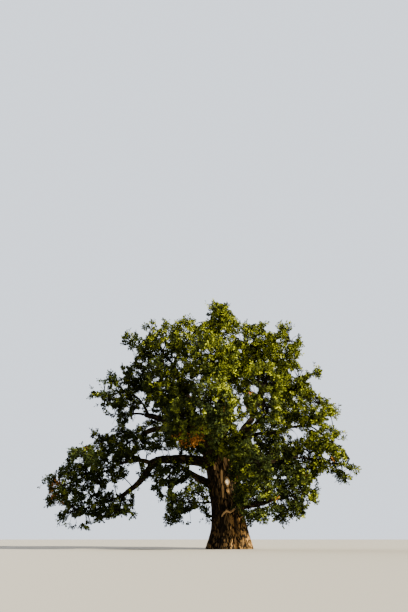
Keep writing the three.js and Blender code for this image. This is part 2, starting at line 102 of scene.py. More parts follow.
class Limb(NamedTuple):
    """A bough: what it grows on and at which share of it, its tip, its radii at foot and tip, and how far
    its first part is lifted, its last part sags and its middle is bent to the left."""
    carrier: str
    at: float
    tip: tuple
    radii: tuple
    arch: float = 0
    sag: float = 0
    bend: float = 0


LIMBS = {
    "leader_mid": Limb("trunk", 0.86, (-0.45, 0.1, 12.3), (0.43, 0.125), bend=-0.35),
    "leader_left": Limb("trunk", 0.84, (-3.5, 0, 11.5), (0.36, 0.11), arch=-0.5, bend=0.25),
    "leader_right": Limb("trunk", 0.8, (2.75, 0.2, 10.9), (0.39, 0.11), arch=-0.9, bend=0.2),
    "left_high": Limb("trunk", 0.9, (-5.45, -0.25, 8.1), (0.32, 0.12), arch=1.3, sag=0.25),
    "left_fork": Limb("left_high", 0.93, (-6.35, 0.15, 9.65), (0.09, 0.055), arch=0.35),
    "left_mid": Limb("trunk", 0.82, (-5.4, 0.15, 7), (0.33, 0.125), arch=1.5, sag=-0.7),
    "arch": Limb("trunk", 0.79, (-4.95, 0, 5), (0.43, 0.23), arch=0.85, sag=-0.3),
    "droop": Limb("arch", 0.96, (-6.8, 0.12, 3), (0.19, 0.08), arch=-0.35, sag=0.2),
    "arch_out": Limb("arch", 0.97, (-7.25, -0.08, 4.95), (0.13, 0.07), arch=0.33),
    "low_left": Limb("trunk", 0.58, (-2.95, -0.04, 4.85), (0.33, 0.13), arch=-0.15, bend=0.08),
    "right_low": Limb("trunk", 0.4, (3, -0.15, 2.87), (0.3, 0.095), arch=0.06, bend=-0.08),
    "right_mid": Limb("trunk", 0.7, (3.4, 0.15, 5.35), (0.3, 0.11), arch=0.2, bend=0.12),
    "right_reach": Limb("right_mid", 0.93, (6.45, 0.06, 5.08), (0.09, 0.045), arch=0.42),
    "right_high": Limb("leader_right", 0.36, (5.15, 0.06, 7.45), (0.15, 0.075), arch=0.35, bend=-0.12),
    "front_left": Limb("trunk", 0.88, (-2.15, -3, 6.5), (0.28, 0.1), arch=0.35, bend=0.15),
    "front_mid": Limb("trunk", 0.92, (-0.65, -3.5, 7.45), (0.26, 0.095), arch=0.25, bend=-0.2),
    "front_right": Limb("trunk", 0.72, (1.45, -3.3, 4.95), (0.26, 0.095), arch=0.25, bend=0.15),
    "front_up": Limb("leader_right", 0.22, (2.25, -3, 7.65), (0.17, 0.085), arch=0.25, bend=-0.15),
    "back_left": Limb("trunk", 0.86, (-2.85, 3, 7.95), (0.3, 0.105), arch=0.25, bend=-0.2),
    "back_mid": Limb("trunk", 0.8, (-0.6, 4.5, 6.95), (0.29, 0.1), arch=0.45, bend=0.2),
    "back_right": Limb("trunk", 0.76, (2.6, 3.4, 7.05), (0.3, 0.105), arch=0.25, bend=0.2),
}
# A bough's centre line bends at two shares of its run, and the second bend takes part of the arch and of
# the bend to the left. The radius falls with a power of the share, and swells by a share of itself in a
# collar at the foot.
LIMB_BENDS = (0.33, 0.7)
LATE_ARCH, LATE_BEND = 0.6, 0.4
LIMB_TAPER = 0.75
COLLAR, COLLAR_LENGTH = 0.35, 0.1
# The trunk's centre line: the share of its height at which it begins to lean, and the later one at which a
# share of the lean has come about.
TRUNK_UPRIGHT, TRUNK_LEANING, LEAN_SO_FAR = 0.35, 0.65, 0.7

# Masses of leaves: the limb that carries each and the share of it, its middle, and its half-widths to
# the right, to the back and up.
MASSES = {
    "top": ("leader_mid", 1, (-0.5, 0, 14.75), (1.65, 2, 1.7)),
    "top_left": ("leader_left", 1, (-2.45, -1.5, 12.9), (1.8, 2.3, 1.65)),
    "shoulder_left": ("leader_left", 0.9, (-4.7, 1.4, 13.35), (1.75, 2.2, 2.3)),
    "tuft_left": ("leader_left", 0.8, (-6, 0, 12.8), (1.3, 1.6, 1.2)),
    "top_right": ("leader_right", 1, (2.1, 1.4, 13.6), (1.85, 2.4, 1.95)),
    "shoulder_right": ("leader_right", 0.93, (3.75, -1.2, 12.4), (1.4, 2.3, 1.95)),
    "left_upper": ("left_fork", 0.9, (-5.85, 1.2, 11.1), (2.05, 2.5, 1.7)),
    "left_spur": ("left_fork", 1, (-7.6, 0, 9.5), (1.55, 2, 1.55)),
    "left_mid": ("left_high", 1, (-6.7, -0.8, 8.05), (1.65, 2, 1.1)),
    "centre_left": ("leader_left", 0.62, (-3.65, -2.2, 9.8), (2, 2.4, 2.05)),
    "right_upper": ("leader_right", 0.86, (4.35, 1, 10.55), (1.8, 2.6, 1.6)),
    "right_mid": ("right_high", 0.93, (5.5, -1, 8.25), (1.75, 2.5, 1.5)),
    "right_outer": ("right_high", 1, (6.55, 0.6, 6.65), (1.45, 2.2, 1.6)),
    "right_tip": ("right_reach", 1, (7.25, 0, 5.05), (1.3, 1.6, 1.2)),
    "right_out_low": ("right_mid", 1, (4.95, 1.2, 5.3), (1.85, 2.6, 1.65)),
    "right_low": ("right_low", 1, (4, -0.4, 3.15), (1.95, 2.4, 1.7)),
    "right_bottom": ("right_low", 0.6, (1.55, -2.2, 2.7), (1.65, 2, 1.55)),
    "over_arch": ("left_mid", 0.62, (-3.4, -0.9, 6.75), (1.85, 1.8, 1)),
    "arch_crest": ("left_mid", 1, (-6.5, 1, 6.45), (2.05, 2.3, 1.4)),
    "left_crest": ("arch_out", 0.94, (-8.6, -0.5, 5.75), (1.95, 2.4, 1.5)),
    "left_inner": ("arch_out", 0.8, (-8.2, 0.6, 4.25), (1.35, 1.9, 1.05)),
    "left_tip": ("arch_out", 1, (-10.2, 0.2, 3.85), (1.65, 1.9, 1.4)),
    "left_low": ("droop", 1, (-8.95, -0.3, 2.4), (2.05, 2, 1.45)),
    "left_droop": ("droop", 0.9, (-6.75, 0.5, 2.5), (1.8, 2, 1.15)),
    "under_arch": ("low_left", 1, (-3.7, 0, 4.3), (1.85, 1.9, 1.25)),
    "under_low": ("trunk", 0.41, (-2.65, -0.5, 2.7), (1.75, 1.9, 1.55)),
    "front_high": ("leader_mid", 0.62, (-1, -3.6, 10.8), (1.9, 2.3, 1.85)),
    "front_left": ("front_left", 1, (-2.55, -4.2, 6.95), (1.65, 2.3, 1.65)),
    "front_mid": ("front_mid", 1, (-1.05, -5.2, 7.55), (1.6, 2.3, 2.2)),
    "front_right": ("front_right", 1, (1.5, -4.8, 4.6), (1.7, 2.3, 1.55)),
    "front_right_high": ("front_up", 1, (1.85, -4, 8.65), (1.6, 2.5, 2.35)),
    "back_high": ("leader_mid", 0.7, (1.05, 3.8, 12.6), (2.6, 2.3, 2.45)),
    "back_left": ("back_left", 1, (-3.8, 4.4, 9.85), (2.4, 2.4, 2.25)),
    "back_low": ("back_mid", 1, (-0.7, 6, 8.55), (2.45, 2.1, 2.15)),
    "back_right": ("back_right", 1, (4, 4.4, 10.15), (2.4, 2.5, 2.75)),
    "back_low_right": ("back_right", 0.9, (3.15, 4.6, 6.05), (2.1, 2.2, 1.95)),
}
# The masses that the sky shows through. The others are dense.
OPEN = {
    "shoulder_left", "tuft_left", "left_spur", "left_mid", "left_inner", "left_tip", "left_low",
    "left_droop", "over_arch", "under_arch", "under_low", "right_tip",
}

# The growth rule, as in the solids. A stem takes a share of its bough's radius up to the thickest, and has
# its own radius on the trunk; it runs past the middle of its mass by a share of the reach, after leaving
# its bough along it for a share of the way and turning towards its end by the last share.
GOLDEN_ANGLE = 2.39996
STEM_SHARE, STEM_THICKEST, STEM_ON_TRUNK, STEM_END = 0.8, 0.15, 0.09, 0.05
STEM_PAST, STEM_LEAVE, STEM_TURN = 0.3, 0.25, 0.7
# Twigs: the radii at their feet and ends, the surface that each serves, the fewest in a mass, the part of
# the stem that they leave, how far their ways stray, how far short of the surface they end, as a share of a
# spray's length, the least share of the reach, and the part of each that has to fit in the mass.
TWIG_FOOT, TWIG_END, TUFT_TWIG = 0.055, 0.022, 0.035
TWIG_ROOM, TWIG_FEWEST = 24.0, 3
TWIG_FEET = (0.5, 0.97)
TWIG_STRAY, TWIG_INSET, TWIG_SHORTEST = 0.5, 0.55, 0.35
TWIG_OUTER = np.arange(0.4, 1.01, 0.1)
# The solids' sprays: their length as a share of the mean reach, the shortest and the longest.
SPRAY_SHARE, SPRAY_SHORTEST, SPRAY_LONGEST = 0.9, 0.48, 1.7
# How far twigs stay from the border with a neighbour and from the wood, and the height of the lowest leaf.
NEIGHBOUR_ROOM, LIMB_ROOM = 0.045, 0.11
LOWEST_LEAF = 1.05
# The shares of its reach at which an end is tried, one after the other, until it fits.
PULL_IN = (1, 0.85, 0.7, 0.55)
# How far a mass's surface is dented, as a share of its reach, and how far apart the dents are.
LUMPS, LUMP_SIZE = 0.14, 0.9

# Sprigs that grow along a limb or round the top of the trunk: how many to a metre, the longest, and
# where they begin, as a share of the limb.
SPRIGS = {
    "other": (2.4, 0.9, 0.2),
    "trunk": (24, 0.8, 0.82),
    "leader_mid": (9, 2.1, 0.05),
    "leader_left": (5, 1.5, 0.1),
    "leader_right": (8, 1.9, 0.1),
    "right_high": (4, 1.2, 0.1),
    "right_mid": (3.5, 1.0, 0.25),
    "front_up": (4, 1.2, 0.1),
    "front_mid": (4, 1.1, 0.15),
    "front_left": (4, 1.1, 0.15),
    "front_right": (6, 1.2, 0.15),
    "back_left": (5, 1.3, 0.1),
    "back_mid": (5, 1.3, 0.1),
    "back_right": (5, 1.3, 0.1),
    "arch": (2.6, 0.6, 0.2),
    "droop": (1.2, 0.4, 0.2),
    "left_high": (1.8, 0.5, 0.2),
    "left_mid": (2, 0.5, 0.2),
}
# They stay this near to a mass, or inside the heart of the crown: its middle and half-widths.
SPRIG_STRAY = 0.9
CROWN_HEART = ((-0.2, 0.3, 9.0), (5.2, 4.6, 5.2))

# Where the sky shows through the crown or bites into its outline: the gap's middle as it is seen, its long
# and short half-widths, and how far it is turned from level in degrees.
GAPS = [
    # Left side
    (-5.55, 13.73, 0.51, 0.24, 55), (-5.85, 13.8, 0.4, 0.16, -41), (-4.7, 14.6, 0.4, 0.25, -69),
    (-6.9, 12.75, 0.4, 0.2, 53), (-6.6, 11.98, 0.68, 0.36, 64), (-7.2, 11.0, 0.42, 0.22, -84),
    (-8.37, 10.06, 0.57, 0.28, 31), (-8.65, 9.1, 0.3, 0.22, -27), (-5.75, 9.45, 0.36, 0.2, -10),
    (-5.04, 8.69, 0.32, 0.12, 61), (-6.7, 8.5, 0.3, 0.16, 26), (-5.97, 8.22, 0.45, 0.22, 47),
    (-7.6, 8.45, 0.4, 0.24, -33), (-8.1, 7.75, 0.95, 0.5, -65), (-7.4, 7.75, 0.3, 0.25, 0),
    (-6.3, 7.4, 0.32, 0.2, 2), (-5.6, 7.87, 1.2, 0.2, 27), (-4.76, 8.15, 0.45, 0.16, 41),
    (-4.75, 10.5, 0.3, 0.18, 40), (-6.85, 10.0, 0.3, 0.18, 30), (-4.95, 7.15, 0.42, 0.22, 40),
    (-8.98, 6.51, 0.37, 0.33, 4), (-5.55, 5.65, 0.3, 0.2, 79), (-4.5, 5.62, 0.65, 0.28, 20),
    (-3.5, 5.75, 0.25, 0.18, 43), (-9.75, 6.7, 0.8, 0.5, 40), (-9.55, 5.25, 0.3, 0.16, 12),
    (-10.4, 5.6, 0.4, 0.2, 75), (-11.0, 4.85, 0.6, 0.25, 40), (-6.0, 4.75, 0.4, 0.3, 25),
    (-6.4, 3.8, 0.95, 0.34, 37), (-7.45, 3.65, 0.35, 0.2, -82), (-8.26, 3.58, 0.25, 0.14, 90),
    (-11.5, 3.45, 0.31, 0.2, -55), (-5.12, 3.85, 0.6, 0.3, 17), (-3.1, 3.6, 0.65, 0.2, 24),
    (-6.24, 2.89, 0.39, 0.18, 90), (-4.15, 2.35, 0.6, 0.24, 84), (-4.0, 3.4, 0.3, 0.16, 35),
    (-3.75, 4.25, 0.3, 0.14, 20), (-4.95, 2.3, 0.5, 1.0, 0), (-10.3, 2.3, 0.25, 0.15, 60),
    (-8.9, 3.3, 0.2, 0.12, 0), (-8.6, 1.75, 0.3, 0.14, -30), (-10.9, 2.15, 0.4, 0.3, -2),
    (-9.2, 1.68, 0.6, 0.26, 4), (-8.2, 1.3, 0.35, 0.2, 0), (-7.1, 1.6, 0.41, 0.16, 8),
    (-6.5, 1.72, 0.5, 0.25, 17), (-5.7, 2.75, 0.5, 0.24, 80), (-1.91, 4.56, 0.63, 0.27, -34),
    (-2.0, 1.95, 0.6, 0.35, -3),
    # Top and middle
    (-1.62, 15.27, 1.15, 0.36, 63), (-0.3, 16.35, 0.8, 0.3, -10), (0.7, 15.7, 0.8, 0.4, -60),
    (1.1, 14.8, 0.3, 0.16, -60), (0.95, 13.55, 0.3, 0.2, -82), (-3.14, 11.57, 0.3, 0.2, 60),
    (-2.64, 9.42, 0.24, 0.2, 0), (-1.9, 8.44, 0.3, 0.24, -30), (0.97, 9.2, 0.28, 0.13, 76),
    (1.8, 9.92, 0.36, 0.18, -22), (2.72, 9.42, 0.26, 0.22, 90), (1.1, 8.6, 0.3, 0.17, -85),
    (1.15, 7.75, 0.4, 0.2, 70), (0.95, 7.5, 0.35, 0.2, 40), (1.6, 7.7, 0.3, 0.18, 30),
    (0.55, 7.65, 0.26, 0.14, 10), (0.5, 8.35, 0.25, 0.15, 80), (1.9, 6.95, 0.4, 0.15, 48),
    # Right side
    (2.03, 14.85, 0.75, 0.34, 17), (2.0, 15.4, 0.8, 0.35, 0), (3.06, 14.1, 0.5, 0.25, -18),
    (4.6, 13.6, 0.5, 0.3, 85), (4.5, 13.2, 0.3, 0.2, 36), (5.0, 10.93, 0.4, 0.15, 15),
    (5.35, 11.6, 0.6, 0.3, -50), (4.6, 10.85, 0.36, 0.26, -65), (6.8, 11.1, 0.4, 0.3, 90),
    (6.15, 9.93, 1.05, 0.36, -50), (7.1, 7.6, 0.7, 0.2, -45), (6.65, 7.7, 0.3, 0.2, 19),
    (4.6, 6.95, 0.45, 0.25, 5), (5.75, 7.3, 0.36, 0.18, 20), (7.2, 6.4, 0.28, 0.24, -68),
    (6.28, 5.55, 0.3, 0.2, -54), (7.85, 5.6, 0.65, 0.26, -51), (3.35, 4.17, 0.4, 0.1, 0),
    (5.36, 3.76, 0.28, 0.15, 65), (3.26, 2.75, 0.3, 0.18, 13), (5.1, 2.2, 0.5, 0.25, 70),
    (4.8, 2.8, 0.24, 0.15, 60), (6.3, 4.15, 0.6, 0.25, 0), (7.4, 4.7, 0.6, 0.17, -25),
]
GAP_SHARE, GAP_RAGGED = 0.85, 0.6  # how much of a gap is clear, and how ragged its edges are
GAP_RAGS = ((0.22, 41), (0.1, 45))  # the size of the ragged edge's bays, coarse and fine, and their seeds
GAP_LACE, GAP_LACE_WIDTH = 0.13, 2.2  # extra specks round a gap, and how far out they reach
FEWEST_LEAVES = 4  # on a spray, which is left out otherwise
FEWEST_SPRAYS, STRAY_ROOM = 5, 0.35  # in company, and the cells in which they are counted

# Small tufts that stand out from the masses: the place of each as it is seen, how far behind the plane
# through the trunk it is, and its radius.
TUFTS = [
    # Left
    (-7.1, 5.15, 0, 0.42), (-6.7, 4.5, 0, 0.36), (-3.55, 1.85, 0, 0.55), (-4.05, 3.15, 0, 0.36),
    (-3.6, 3.3, 0, 0.3), (-2.95, 5.95, 0, 0.32), (-2.35, 5.95, 0, 0.3), (-9.05, 4.7, 0, 0.34),
    (-8.6, 4.3, 0, 0.34), (-11.1, 2.7, 0, 0.4), (-7.55, 3.0, 0, 0.34), (-8.45, 2.8, 0, 0.26),
    (-1.4, 1.95, -0.4, 0.34), (-7.7, 6.9, 0, 0.42), (-8.1, 6.85, 0, 0.28), (-10.0, 5.2, 0, 0.3),
    (-4.6, 6.2, 0, 0.34), (-4.7, 3.4, 0, 0.32), (-5.4, 4.9, 0, 0.26), (-10.4, 1.85, 0, 0.3),
    (-9.85, 1.95, 0, 0.24), (-7.3, 4.05, 0, 0.22), (-5.15, 5.62, 0, 0.32), (-11.4, 3.9, 0, 0.2),
    (-8.75, 1.4, 0, 0.36), (-7.85, 1.85, 0, 0.34), (-5.95, 2.3, 0, 0.28), (-7.55, 10.3, 0, 0.36),
    (-5.35, 9.2, 0, 0.32), (-6.0, 8.75, 0, 0.26), (-5.55, 8.5, 0, 0.28), (-5.0, 7.5, 0, 0.28),
    (-3.85, 5.95, 0, 0.26), (-8.05, 8.85, 0, 0.24), (-10.6, 4.5, 0, 0.22), (-6.75, 11.45, 0, 0.24),
    (-5.12, 4.2, 0, 0.22), (-5.75, 5.7, 0, 0.22), (-6.1, 13.35, 0, 0.26), (-5.1, 14.35, 0, 0.28),
    (-7.9, 6.7, 0, 0.4), (-6.85, 13.4, 0, 0.2), (-6.15, 11.9, 0, 0.28), (-7.5, 10.15, 0, 0.3),
    (-7.65, 10.65, 0, 0.24), (-8.1, 8.85, 0, 0.26), (-2.05, 14.5, 0, 0.22), (-1.35, 14.9, 0, 0.24),
    (-4.8, 7.65, 0, 0.24), (-5.2, 5.65, 0, 0.24), (-7.2, 3.75, 0, 0.22), (-2.65, 4.0, 0, 0.26),
    (-6.0, 5.05, 0, 0.22), (-5.05, 14.2, 0, 0.26), (-4.2, 14.05, 0, 0.26), (-5.3, 4.85, 0, 0.3),
    (-5.75, 5.25, 0, 0.28), (-5.6, 4.3, 0, 0.3), (-5.2, 3.95, 0, 0.24), (-2.1, 4.0, 0, 0.24),
    (-3.2, 3.7, 0, 0.26), (-8.8, 9.6, 0, 0.24), (-8.7, 6.7, 0, 0.24), (-4.9, 8.5, 0, 0.24),
    (-5.6, 8.55, 0, 0.24), (-6.2, 9.15, 0, 0.26), (-5.9, 2.3, 0.3, 0.26), (-8.45, 1.4, 0, 0.24),
    (-6.6, 4.2, 0, 0.22),
    # Right
    (7.2, 4.15, 0, 0.26), (6.75, 4.5, 0, 0.22), (3.5, 6.9, -0.8, 0.28), (3.9, 7.3, -0.8, 0.24),
    (5.4, 6.7, -0.8, 0.24), (6.8, 8.05, 0, 0.22), (4.05, 7.65, 0, 0.24), (4.7, 11.4, 0, 0.22),
    (1.05, 8.1, -0.5, 0.26), (0.87, 8.85, -0.5, 0.28), (3.25, 1.85, -0.4, 0.42), (1.35, 1.7, -0.6, 0.3),
    (5.25, 2.9, 0, 0.3), (2.1, 7.2, -0.3, 0.32), (5.85, 4.75, 0, 0.24), (5.9, 10.85, 0, 0.22),
    (6.2, 11.0, 0, 0.16), (5.45, 10.7, 0, 0.2), (5.05, 10.55, 0, 0.24), (4.35, 3.6, 0, 0.26),
    (7.5, 5.55, 0, 0.2), (7.55, 4.75, 0, 0.16), (6.9, 6.85, 0, 0.25), (7.2, 6.55, 0, 0.22),
    # Round the top, before and behind it
    (-0.3, 15.4, -0.8, 0.4), (-0.2, 14.8, -1.4, 0.45), (-0.4, 15.2, 1.2, 0.45), (0.2, 14.6, 1.6, 0.5),
    (-0.9, 14.3, 1.4, 0.5),
    # In the heart of the crown, behind the trunk
    (3.4, 8.6, 2.4, 0.6), (2.9, 6.6, 2.6, 0.6), (3.6, 5.4, 2.4, 0.55), (0.2, 7.4, 2.6, 0.6),
    (-1.2, 8.0, 2.8, 0.6), (-3.2, 8.6, 2.6, 0.6), (-2.9, 7.6, 2.2, 0.6), (0.4, 12.0, 0.8, 0.6),
    (1.9, 11.6, 1.4, 0.6), (0.2, 10.8, 1.6, 0.6), (2.2, 10.9, 0.8, 0.5), (1.0, 11.3, -0.5, 0.5),
    # Round the fork and in front of the trunk
    (1.25, 7.05, -1.2, 0.24), (1.6, 7.45, -1.2, 0.24), (0.95, 6.75, -1.2, 0.24), (1.5, 7.0, -0.9, 0.26),
    (1.0, 6.6, -1.0, 0.4), (0.45, 6.4, -1.1, 0.4), (0.8, 14.2, 0, 0.32), (0.35, 13.7, 0, 0.26),
    (0.4, 8.9, -0.5, 0.3), (0.65, 5.6, -1.5, 0.42), (0.75, 5.0, -1.7, 0.42), (0.72, 4.4, -1.7, 0.42),
    (0.75, 3.85, -1.7, 0.4), (0.72, 3.3, -1.6, 0.38), (0.8, 2.8, -1.5, 0.36), (0.2, 5.95, -1.5, 0.4),
    (-0.6, 6.1, -1.4, 0.42),
]
# Specks of sky between leaves: the share of the crown that is left clear, on its right and on its left,
# the places across between which one turns into the other, the specks' size, and how a share becomes a
# level of the noise.
SPECKS, SPECKS_LEFT = 0.05, 0.085
LEFT_FROM, LEFT_FULL = -3.0, -6.0
SPECK_SIZE, SPECK_SEED = 0.2, 43
SPECK_TOP, SPECK_SLOPE = 0.95, 3.0
# Wood that shows in front of its leaves and hollows in the front of the crown, in the same terms as a
# gap, and how far back each goes.
CLEARINGS = [
    (2.4, 10.5, 0.7, 0.5, 0, -1.0), (-3.9, 11.9, 0.6, 0.4, 30, -0.5), (2.4, 6.2, 0.7, 0.5, -20, -1.8),
    (3.3, 4.9, 0.6, 0.4, 10, -1.0), (2.4, 8.7, 0.5, 0.4, 0, -1.5), (1.7, 2.5, 1.1, 0.2, 15, -0.2),
    (-0.35, 4.3, 1.2, 0.55, 90, -0.4), (-0.3, 2.6, 1.3, 0.5, 90, -0.4),
]

EYE = (-1.52, -40.0, 0.6)  # where the photograph was taken from
EYE_PITCH = 20.8  # degrees above level
LENS, SENSOR = 36.0, 36.0  # millimetres


class WoodSettings(bpy.types.PropertyGroup):
    """Bark, bare wood and how the limbs wander."""
    bark_depth: bpy.props.FloatProperty(
        name="Fissure depth", description="Depth of the trunk's bark fissures", default=0.045, min=0,
        unit="LENGTH")
    bark_plate: bpy.props.FloatProperty(
        name="Bark plate", description="Width of a plate of bark between two fissures", default=0.1, min=0.01,
        unit="LENGTH")
    wander: bpy.props.FloatProperty(
        name="Wander", description="How far a bough strays from its smooth line, as a share of its length",
        default=0.03, min=0, max=0.1)
    bark_dark: bpy.props.FloatVectorProperty(
        name="Fissure colour", description="Colour deep in the bark", subtype="COLOR",
        default=(0.006, 0.004, 0.002))
    bark_light: bpy.props.FloatVectorProperty(
        name="Plate colour", description="Colour of the bark's plates", subtype="COLOR",
        default=(0.37, 0.22, 0.078))
    bark_grey: bpy.props.FloatVectorProperty(
        name="Weathered colour", description="Colour of weathered plates", subtype="COLOR",
        default=(0.15, 0.105, 0.055))
    bare_wood: bpy.props.FloatVectorProperty(
        name="Bare wood", description="Colour of scars and dead wood", subtype="COLOR",
        default=(0.62, 0.38, 0.16))


class LeafSettings(bpy.types.PropertyGroup):
    """How the foliage is grown and coloured."""
    leaf_length: bpy.props.FloatProperty(
        name="Leaf length", description="Mean length of a leaf, larger than life", default=0.165, min=0.05,
        unit="LENGTH")
    branchlet_room: bpy.props.FloatProperty(
        name="Room of a branchlet", default=0.5, min=0.2,
        description="Surface of a mass that each branchlet serves, in square metres")
    sprays: bpy.props.IntProperty(
        name="Sprays", description="Sprays on each branchlet", default=6, min=1)
    leaves: bpy.props.IntProperty(
        name="Leaves", description="Leaves on each spray", default=8, min=3)
    spray_length: bpy.props.FloatProperty(
        name="Spray length", description="Mean length of a spray's twig", default=0.4, min=0.1, unit="LENGTH")


class StageSettings(bpy.types.PropertyGroup):
    """The plain stage."""
    sun_strength: bpy.props.FloatProperty(
        name="Key strength", description="Strength of the key light", default=19.0, min=0)
    sun_softness: bpy.props.FloatProperty(
        name="Key softness", description="Apparent width of the key light", default=math.radians(5),
        subtype="ANGLE")
    fill_strength: bpy.props.FloatProperty(
        name="Fill strength", description="Strength of the fill light from behind", default=4, min=0)
    sky_strength: bpy.props.FloatProperty(
        name="Surround light", description="Strength of the light from all round", default=0.42, min=0)
    sky_behind: bpy.props.FloatProperty(
        name="Background", description="Brightness of the surround behind the tree", default=1.7, min=0)
    floor_colour: bpy.props.FloatVectorProperty(
        name="Floor", description="Colour of the floor", subtype="COLOR", default=(0.3, 0.29, 0.27))
    sky_colour: bpy.props.FloatVectorProperty(
        name="Surround", description="Colour of the surround", subtype="COLOR", default=(0.78, 0.85, 0.95))


# The key light and the fill light: the directions towards them and their colours, and the fill's width.
SUN_FROM, SUN_COLOUR = (0.82, -0.46, 0.53), (1, 0.88, 0.64)
FILL_FROM, FILL_COLOUR, FILL_SOFTNESS = (-0.7, 0.6, 0.5), (1, 0.97, 0.9), math.radians(60)
FLOOR_RADIUS, FLOOR_SIDES, FLOOR_DROP = 400.0, 96, 0.002
PALE_SCAR_AND_PAINTED_SUN = (0.98, 0.86, 0.7)  # wood laid bare not long ago, made paler still as painted sunlight
PAINTED_SUNLIGHT_ON_TRUNK = (0.55, 0.31, 0.1)  # painted sunlight: lighter bark low on the trunk's right
PAINTED_SUNLIT_LIMBS = ("right_low", "low_left")  # painted sunlight: the boughs with lighter, browner bark
# How far a bough's bark swells past the solid beyond its foot, as a share of its radius.
SWELLS = {"droop": 0.45, "left_mid": 0.3, "left_high": 0.3, "arch_out": 0.3, "low_left": 0.15}

# Tints of leaves: colour, and how much of the foliage takes each where it is in shade and where it is lit.
TINTS = {
    "deep_green": {"colour": (0.014, 0.022, 0.005), "shade": 0.58, "lit": 0.06},
    "green": {"colour": (0.035, 0.047, 0.007), "shade": 0.32, "lit": 0.2},
    "olive": {"colour": (0.078, 0.097, 0.012), "shade": 0.08, "lit": 0.34},
    "yellow_green": {"colour": (0.2, 0.23, 0.018), "shade": 0.01, "lit": 0.4},
    "russet": {"colour": (0.24, 0.1, 0.02), "shade": 0.002, "lit": 0.0015},
}
# How much light a spray gets: how much everywhere, by which way it faces, by its height, on the far left,
# and by patches, broad and fine, each with its size and its seed.
LIT_EVERYWHERE, LIT_FACING, LIT_HEIGHT, LIT_FAR_LEFT = 0.42, 0.6, 0.55, -0.3
LIT_BROAD, LIT_FINE = (0.3, 1.3, 5), (0.25, 0.45, 11)
FACING_CROWN, FACING_SELF = 0.55, 0.45  # as part of the crown, and by the spray's own side of its mass
CROWN_MIDDLE = (-1.2, 0.3, 8.0)
DIM_BELOW, BRIGHT_ABOVE = 2.5, 12.0
FAR_LEFT_FROM, FAR_LEFT_FULL = -3.5, -6.5
# Clusters that have begun to turn: middle and radius, and how strongly they do.
TURNED = [
    ((-2.2, -4.3, 5.75), 0.85),
    ((-2.7, -1.8, 6.2), 0.7),
    ((-1.6, -3.6, 5.9), 0.55),
    ((-10.9, -0.5, 3.5), 0.45),
    ((-10.5, 0.3, 2.9), 0.35),
    ((2.6, -2.4, 2.75), 0.3),
]
TURNING = 3.0
# Foliage that stands in more shade than its place tells, or in less: the middle as it is seen, the radius
# and how much darker it is.
SHADED = [
    ((-7.6, 10.0), 1.1, 1.0), ((-8.6, 9.6), 0.7, 0.8), ((-4.6, 11.4), 1.2, 0.5), ((-3.9, 11.9), 0.8, 0.4),
    ((-1.7, 12.8), 0.8, 0.4), ((-1.8, 9.6), 0.9, 0.9), ((-0.75, 10.8), 0.7, 0.3), ((-0.3, 8.9), 1.0, 0.4),
    ((2.4, 10.4), 1.0, 0.8), ((2.5, 6.1), 1.2, 0.8), ((2.4, 8.8), 0.8, 0.4), ((3.1, 4.6), 1.1, 0.45),
    ((-3.9, 8.9), 0.9, 0.4), ((-0.7, 7.9), 0.6, 0.6), ((-6.0, 13.0), 0.8, 0.7), ((5.3, 3.1), 1.2, 0.1),
    ((2.0, 2.1), 1.0, 0.8), ((-7.8, 2.6), 2.2, 0.3), ((-3.2, 3.6), 1.5, 0.1), ((-2.8, 7.9), 0.7, 0.3),
    ((1.5, 12.2), 0.8, -0.8), ((1.4, 9.3), 0.7, -0.3), ((6.0, 5.7), 1.2, -0.5), ((-0.6, 14.6), 1.1, -0.8),
    ((-0.8, 5.8), 0.6, -0.4),
]

# Bare wood on the front of the trunk: middle across and up, half-widths, and how pale it is. Below 0 it
# is painted shade, bark darkened in a cleft.
BARE_PATCHES = [
    ((0.36, 0.4), (0.045, 0.55), 0.66),
    ((0.4, 1.75), (0.12, 0.9), -1.0),
    ((1.0, 0.6), (0.35, 0.8), -0.4),
    ((0.47, 0.6), (0.04, 0.8), -0.7),
    ((-0.5, 1.5), (0.09, 0.9), -0.8),
    ((-0.75, 2.6), (0.12, 0.9), -0.5),
    ((-0.2, 5.08), (0.1, 0.5), 0.81),
    ((0.08, 5.3), (0.09, 0.3), 0.81),
    ((-0.42, 4.2), (0.07, 0.4), 0.72),
    ((-0.08, 3.9), (0.15, 0.27), 1.0),
    ((-0.36, 3.35), (0.07, 0.42), 0.72),
    ((-0.06, 3.37), (0.09, 0.16), 0.76),
    ((-0.85, 5.0), (0.08, 0.35), 0.7),
]


# Numbers and directions

WORD = 0xFFFFFFFF
# What mixes a lattice cell's numbers and a seed: a factor for each axis, one for the seed, and pairs of a
# shift and a factor.
AXIS_FACTORS, SEED_FACTOR = (73856093, 19349663, 83492791), 2654435761
MIXING = ((15, 0x2C1B3C6D), (12, 0x297A2D39), (15, 0x1B873593))
# Directions that no line follows: the axes across a line are square to one of them.
ASIDE_OF_BOUGH, ASIDE_OF_SPRAY, ASIDE_OF_ROD = (0.3, 0.2, 1.0), (0.31, 0.17, 0.94), (0.12, 0.31, 0.94)
FAR_OFF = 9.0  # further than any distance that counts, in the units of a lattice or of a gap
UP = np.array((0, 0, 1.0))


def seeded(seed):
    """The solids' seeded numbers, each from 0 to 1."""
    state = seed & WORD

    def draw():
        nonlocal state
        state = (state + 0x6D2B79F5) & WORD
        mixed = ((state ^ (state >> 15)) * (state | 1)) & WORD
        mixed ^= (mixed + (((mixed ^ (mixed >> 7)) * (mixed | 61)) & WORD)) & WORD
        return ((mixed ^ (mixed >> 14)) & WORD) / (WORD + 1)

    return draw


